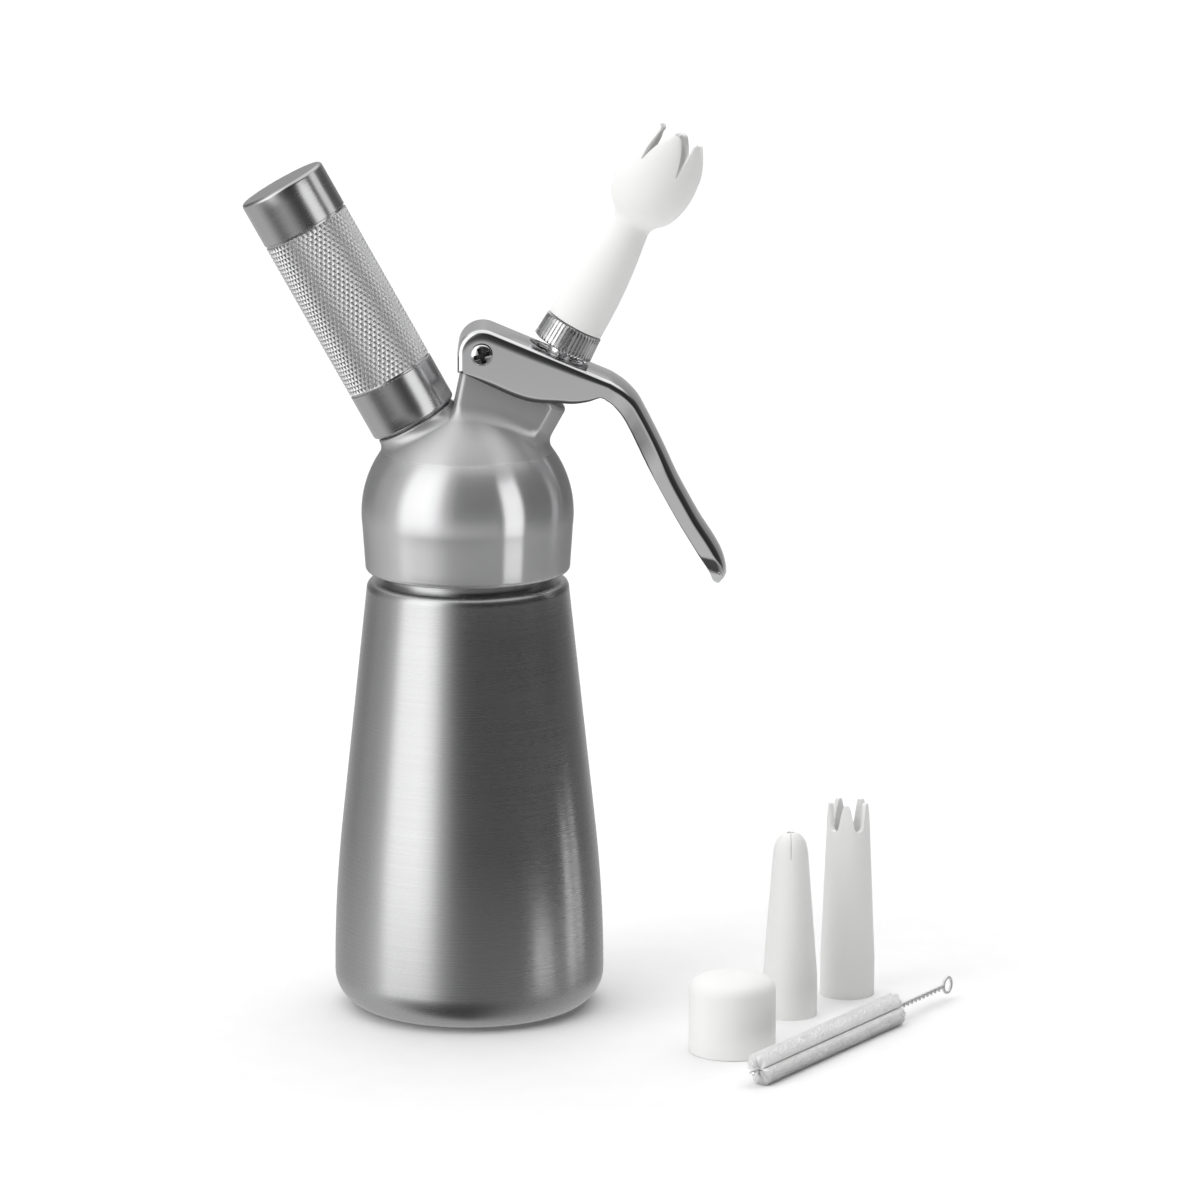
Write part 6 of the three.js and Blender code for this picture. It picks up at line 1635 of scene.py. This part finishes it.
def make_bristles(place):
    """Fine three-sided fibres in two lobes beside the wire, radius R cos(a)^0.3 with a from the
    lobe's middle; those under the brush are pressed against the table."""
    size = settings().brush
    chance = np.random.default_rng(7)
    number = size.fibres
    along = size.bristle_start + size.bristle_length * (np.arange(number) + 0.5) / number
    lobe_spread, lobe_limit, lean_spread, unevenness = 0.62, 1.4, 0.06, 0.07
    from_middle = np.clip(chance.normal(0, lobe_spread, number), -lobe_limit, lobe_limit)
    angle = size.lobe_angle + np.pi * (np.arange(number) % 2) + from_middle
    lean = chance.normal(0, lean_spread, number)
    shorter = 1 - unevenness * chance.random(number) ** 2
    reach = size.bristle_radius * shorter * np.cos(from_middle) ** 0.3
    outward = np.stack([lean, np.cos(angle), np.sin(angle)], -1)
    base = along[:, None] * (1, 0, 0)
    root = base + outward * 0.4 * MM
    tip = base + outward * reach[:, None]
    tip[:, 0] = np.clip(tip[:, 0], size.bristle_start, size.bristle_start + size.bristle_length)
    middle = (root + tip) / 2
    for level in (middle, tip):
        level[:, 2] = np.maximum(level[:, 2], size.fibre_radius - size.axis_height)
    side = unit(np.cross(outward, (1.0, 0, 0)))
    up = unit(np.cross(side, outward))
    corner = np.radians([90, 210, 330])[None, :, None]
    offsets = np.cos(corner) * side[:, None] + np.sin(corner) * up[:, None]
    rings = [level[:, None] + offsets * size.fibre_radius * thickness
             for level, thickness in ((root, 1), (middle, 0.85), (tip, 0.55))]
    points = np.stack(rings, 1).reshape(-1, 3)
    first = np.arange(number)[:, None, None] * 9
    sides = np.array([[r + c, r + (c + 1) % 3, r + 3 + (c + 1) % 3, r + 3 + c]
                      for r in (0, 3) for c in range(3)])
    ends = np.array([[6, 7, 8], [2, 1, 0]])
    heart, heart_faces = bristle_heart(size)
    faces = ((first + sides).reshape(-1, 4).tolist() + (first + ends).reshape(-1, 3).tolist()
             + (np.array(heart_faces) + len(points)).tolist())
    mesh = bpy.data.meshes.new("nylon_bristles")
    mesh.from_pydata(place(np.concatenate([points, heart])).tolist(), [], faces)
    mesh.shade_smooth()
    mesh.materials.append(finish("white_bristles"))
    bristles = add_object("nylon_bristles", mesh)
    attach(bristles, "brush")
    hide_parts("brush_bristles")


# Parts that stay as the frame has them

def make_inner_parts():
    """Gives the hidden seals, nut, piercer and charger their finishes."""
    finishes = {
        "pale_silicone": ("head_gasket", "nozzle_washer"),
        "black_rubber": ("stem_o_ring", "valve_seal", "check_valve", "charger_gasket"),
        "brass": ("stem_nut", "piercer_body"),
        "plain_steel": ("piercing_pin", "gas_charger"),
    }
    for material, names in finishes.items():
        for name in names:
            for material_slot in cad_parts[name].material_slots:
                material_slot.material = finish(material)


# Stage

def make_table():
    """Pale table that curves up into a backdrop far behind: a straight floor, a quarter round
    and an upright, carried sideways."""
    half = settings().stage.table_half
    sweep = half / 4
    profile = np.vstack([
        line((-half, 0), (half / 2, 0), 6),
        arc((half / 2, sweep), sweep, -90, 0, 12)[1:],
        [(half / 2 + sweep, half / 2)],
    ])
    across = np.linspace(-half, half, 9)
    points = np.stack(np.broadcast_arrays(across[None, :], profile[:, :1], profile[:, 1:]), -1)
    mesh = bpy.data.meshes.new("table")
    flat, faces = grid_patch(points.astype(float))
    mesh.from_pydata(flat.tolist(), [], faces)
    mesh.shade_smooth()
    mesh.materials.append(moulded("pale_table", settings().finishes.table, 0.75, specular=0.2,
                                  grain_scale=400.0, depth=1e-6))
    table = add_object("table", mesh)
    table.visible_glossy = False


def add_softbox(name, place, target, width, height, power, lit):
    """A rectangular area light that faces a target. It reaches the named pieces alone, or where
    none is named all of them, but then no mirror image shows it."""
    light = bpy.data.lights.new(name, "AREA")
    light.shape = "RECTANGLE"
    light.size, light.size_y = width, height
    light.energy = power
    obj = add_object(name, light)
    obj.location = place
    obj.rotation_euler = (Vector(target) - Vector(place)).to_track_quat("-Z", "Y").to_euler()
    if not lit:
        obj.visible_glossy = False
        return
    chosen = bpy.data.collections.new(name + "_targets")
    for piece_name in lit:
        chosen.objects.link(bpy.data.objects[piece_name])
    obj.light_linking.receiver_collection = chosen


def direction_ramp(tree, azimuth, stops):
    """Brightness by azimuth: stops of (degrees from the camera, brightness / 2)."""
    ramp = tree.nodes.new("ShaderNodeValToRGB")
    elements = ramp.color_ramp.elements
    while len(elements) < len(stops):
        elements.new(0.5)
    for element, (degrees, brightness) in zip(elements, stops):
        element.position = (degrees + 180) / 360
        element.color = (brightness, brightness, brightness, 1)
    tree.links.new(azimuth, ramp.inputs[0])
    return ramp.outputs[0]


def between(tree, height, zone, below, above):
    """Mixes two brightnesses as a height runs through a zone, (low, high)."""
    mix = tree.nodes.new("ShaderNodeMix")
    mix.data_type = "FLOAT"
    tree.links.new(zone_node(tree, height, *zone), mix.inputs["Factor"])
    feed(tree, mix.inputs["A"], below)
    feed(tree, mix.inputs["B"], above)
    return mix.outputs["Result"]


def make_world():
    """Studio surround: a tall softbox to the left of the camera, a dark room behind the camera,
    pale walls, a pale floor below the horizon and a bright ceiling. Brightness goes by azimuth,
    atan2(x, -y), in each zone of height, and the ceiling's height by z cos l + y sin l."""
    world = bpy.data.worlds.new("studio")
    world.use_nodes = True
    tree = world.node_tree
    background = tree.nodes["Background"]
    background.inputs["Color"].default_value = (1, 1, 1, 1)
    coordinates = tree.nodes.new("ShaderNodeTexCoord")
    parts = tree.nodes.new("ShaderNodeSeparateXYZ")
    tree.links.new(coordinates.outputs["Generated"], parts.inputs[0])
    x, y, height = parts.outputs
    towards = math_node(tree, "MULTIPLY", y, -1.0)
    angle = math_node(tree, "ARCTAN2", x, towards)
    azimuth = math_node(tree, "ADD", math_node(tree, "DIVIDE", angle, 2 * math.pi), 0.5)
    wall, floor, deep = (direction_ramp(tree, azimuth, stops)
                         for stops in (WALL_LIGHT, FLOOR_LIGHT, DEEP_LIGHT))
    ground = between(tree, height, DEEP_TO_FLOOR, deep, floor)
    room = between(tree, height, FLOOR_TO_WALL, ground, wall)
    lean = math.radians(BACKWARD_LEAN)
    tilted = math_node(tree, "ADD", math_node(tree, "MULTIPLY", height, math.cos(lean)),
                       math_node(tree, "MULTIPLY", y, math.sin(lean)))
    whole = between(tree, tilted, WALL_TO_CEILING, room, CEILING_LIGHT)
    tree.links.new(math_node(tree, "MULTIPLY", whole, STUDIO_STRENGTH),
                   background.inputs["Strength"])
    bpy.context.scene.world = world


def make_camera():
    """Looks at the target from target + distance (0, -cos e, sin e), e the elevation."""
    stage = settings().stage
    target = Vector((stage.target_x, 0, stage.target_z))
    offset = Vector((0, -math.cos(stage.elevation), math.sin(stage.elevation)))
    camera = bpy.data.cameras.new("camera")
    camera.lens = stage.focal_length
    camera.sensor_width = 36  # mm
    camera.clip_end = 50  # m
    obj = add_object("camera", camera)
    obj.location = target + offset * stage.distance
    obj.rotation_euler = (target - obj.location).to_track_quat("-Z", "Y").to_euler()
    bpy.context.scene.camera = obj


def make_lights():
    """Overhead and left light for the table and the plastic, a strip and a low panel for the
    head, two strips for the charger holder, and the studio round them."""
    for softbox in SOFTBOXES:
        add_softbox(*softbox)
    make_world()
    bpy.context.scene.view_settings.view_transform = "Standard"


# Operators and panel

class DispenserOperator:
    """What the operators share."""
    bl_options = {"REGISTER", "UNDO"}


class DISPENSER_OT_bottle(DispenserOperator, bpy.types.Operator):
    """Build the brushed bottle"""
    bl_idname = "dispenser.bottle"
    bl_label = "Bottle"

    def execute(self, context):
        make_bottle()
        return {"FINISHED"}


class DISPENSER_OT_head(DispenserOperator, bpy.types.Operator):
    """Build the head with its valve block, lug and gas port"""
    bl_idname = "dispenser.head"
    bl_label = "Head"

    def execute(self, context):
        make_head()
        return {"FINISHED"}


class DISPENSER_OT_lever(DispenserOperator, bpy.types.Operator):
    """Build the pressed lever, its pivot screw and barrel nut"""
    bl_idname = "dispenser.lever"
    bl_label = "Lever and Pivot"

    def execute(self, context):
        make_lever()
        make_pivot_screw()
        return {"FINISHED"}


class DISPENSER_OT_valve(DispenserOperator, bpy.types.Operator):
    """Build the stem, bushing, spring and ribbed collar"""
    bl_idname = "dispenser.valve"
    bl_label = "Valve"

    def execute(self, context):
        make_valve()
        make_collar()
        return {"FINISHED"}


class DISPENSER_OT_holder(DispenserOperator, bpy.types.Operator):
    """Build the knurled charger holder"""
    bl_idname = "dispenser.holder"
    bl_label = "Charger Holder"

    def execute(self, context):
        make_holder()
        return {"FINISHED"}


class DISPENSER_OT_nozzles(DispenserOperator, bpy.types.Operator):
    """Build the fitted nozzle, the two loose nozzles and the closing cap"""
    bl_idname = "dispenser.nozzles"
    bl_label = "Nozzles and Cap"

    def execute(self, context):
        make_tulip_nozzle()
        make_loose_nozzles()
        make_cap()
        return {"FINISHED"}


class DISPENSER_OT_brush(DispenserOperator, bpy.types.Operator):
    """Build the cleaning brush"""
    bl_idname = "dispenser.brush"
    bl_label = "Cleaning Brush"

    def execute(self, context):
        make_brush()
        return {"FINISHED"}


class DISPENSER_OT_inner_parts(DispenserOperator, bpy.types.Operator):
    """Finish the seals, nut, piercer and charger inside"""
    bl_idname = "dispenser.inner_parts"
    bl_label = "Inner Parts"

    def execute(self, context):
        make_inner_parts()
        return {"FINISHED"}


class DISPENSER_OT_stage(DispenserOperator, bpy.types.Operator):
    """Set up the camera, table and light"""
    bl_idname = "dispenser.stage"
    bl_label = "Stage"

    def execute(self, context):
        make_camera()
        make_table()
        make_lights()
        return {"FINISHED"}


OPERATORS = (
    DISPENSER_OT_bottle, DISPENSER_OT_head, DISPENSER_OT_lever, DISPENSER_OT_valve,
    DISPENSER_OT_holder, DISPENSER_OT_nozzles, DISPENSER_OT_brush, DISPENSER_OT_inner_parts,
    DISPENSER_OT_stage,
)


class DISPENSER_PT_panel(bpy.types.Panel):
    """Lists the dispenser's pieces"""
    bl_label = "Dispenser"
    bl_idname = "DISPENSER_PT_panel"
    bl_space_type = "VIEW_3D"
    bl_region_type = "UI"
    bl_category = "Dispenser"

    def draw(self, context):
        for operator in OPERATORS:
            self.layout.operator(operator.bl_idname)


GROUPS = (
    BottleSizes, HeadSizes, LeverSizes, ValveSizes, HolderSizes, NozzleSizes, BrushSizes,
    FinishColours, StageSettings, DispenserSettings,
)


def register():
    """Registers the settings, operators and panel."""
    for group in GROUPS + OPERATORS + (DISPENSER_PT_panel,):
        bpy.utils.register_class(group)
    bpy.types.Scene.dispenser = bpy.props.PointerProperty(type=DispenserSettings)


def unregister():
    """Takes back what register did."""
    del bpy.types.Scene.dispenser
    for group in reversed(GROUPS + OPERATORS + (DISPENSER_PT_panel,)):
        bpy.utils.unregister_class(group)


def main():
    """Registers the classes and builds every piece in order."""
    register()
    bpy.ops.dispenser.bottle()
    bpy.ops.dispenser.head()
    bpy.ops.dispenser.lever()
    bpy.ops.dispenser.valve()
    bpy.ops.dispenser.holder()
    bpy.ops.dispenser.nozzles()
    bpy.ops.dispenser.brush()
    bpy.ops.dispenser.inner_parts()
    bpy.ops.dispenser.stage()


if __name__ == "__main__":
    main()
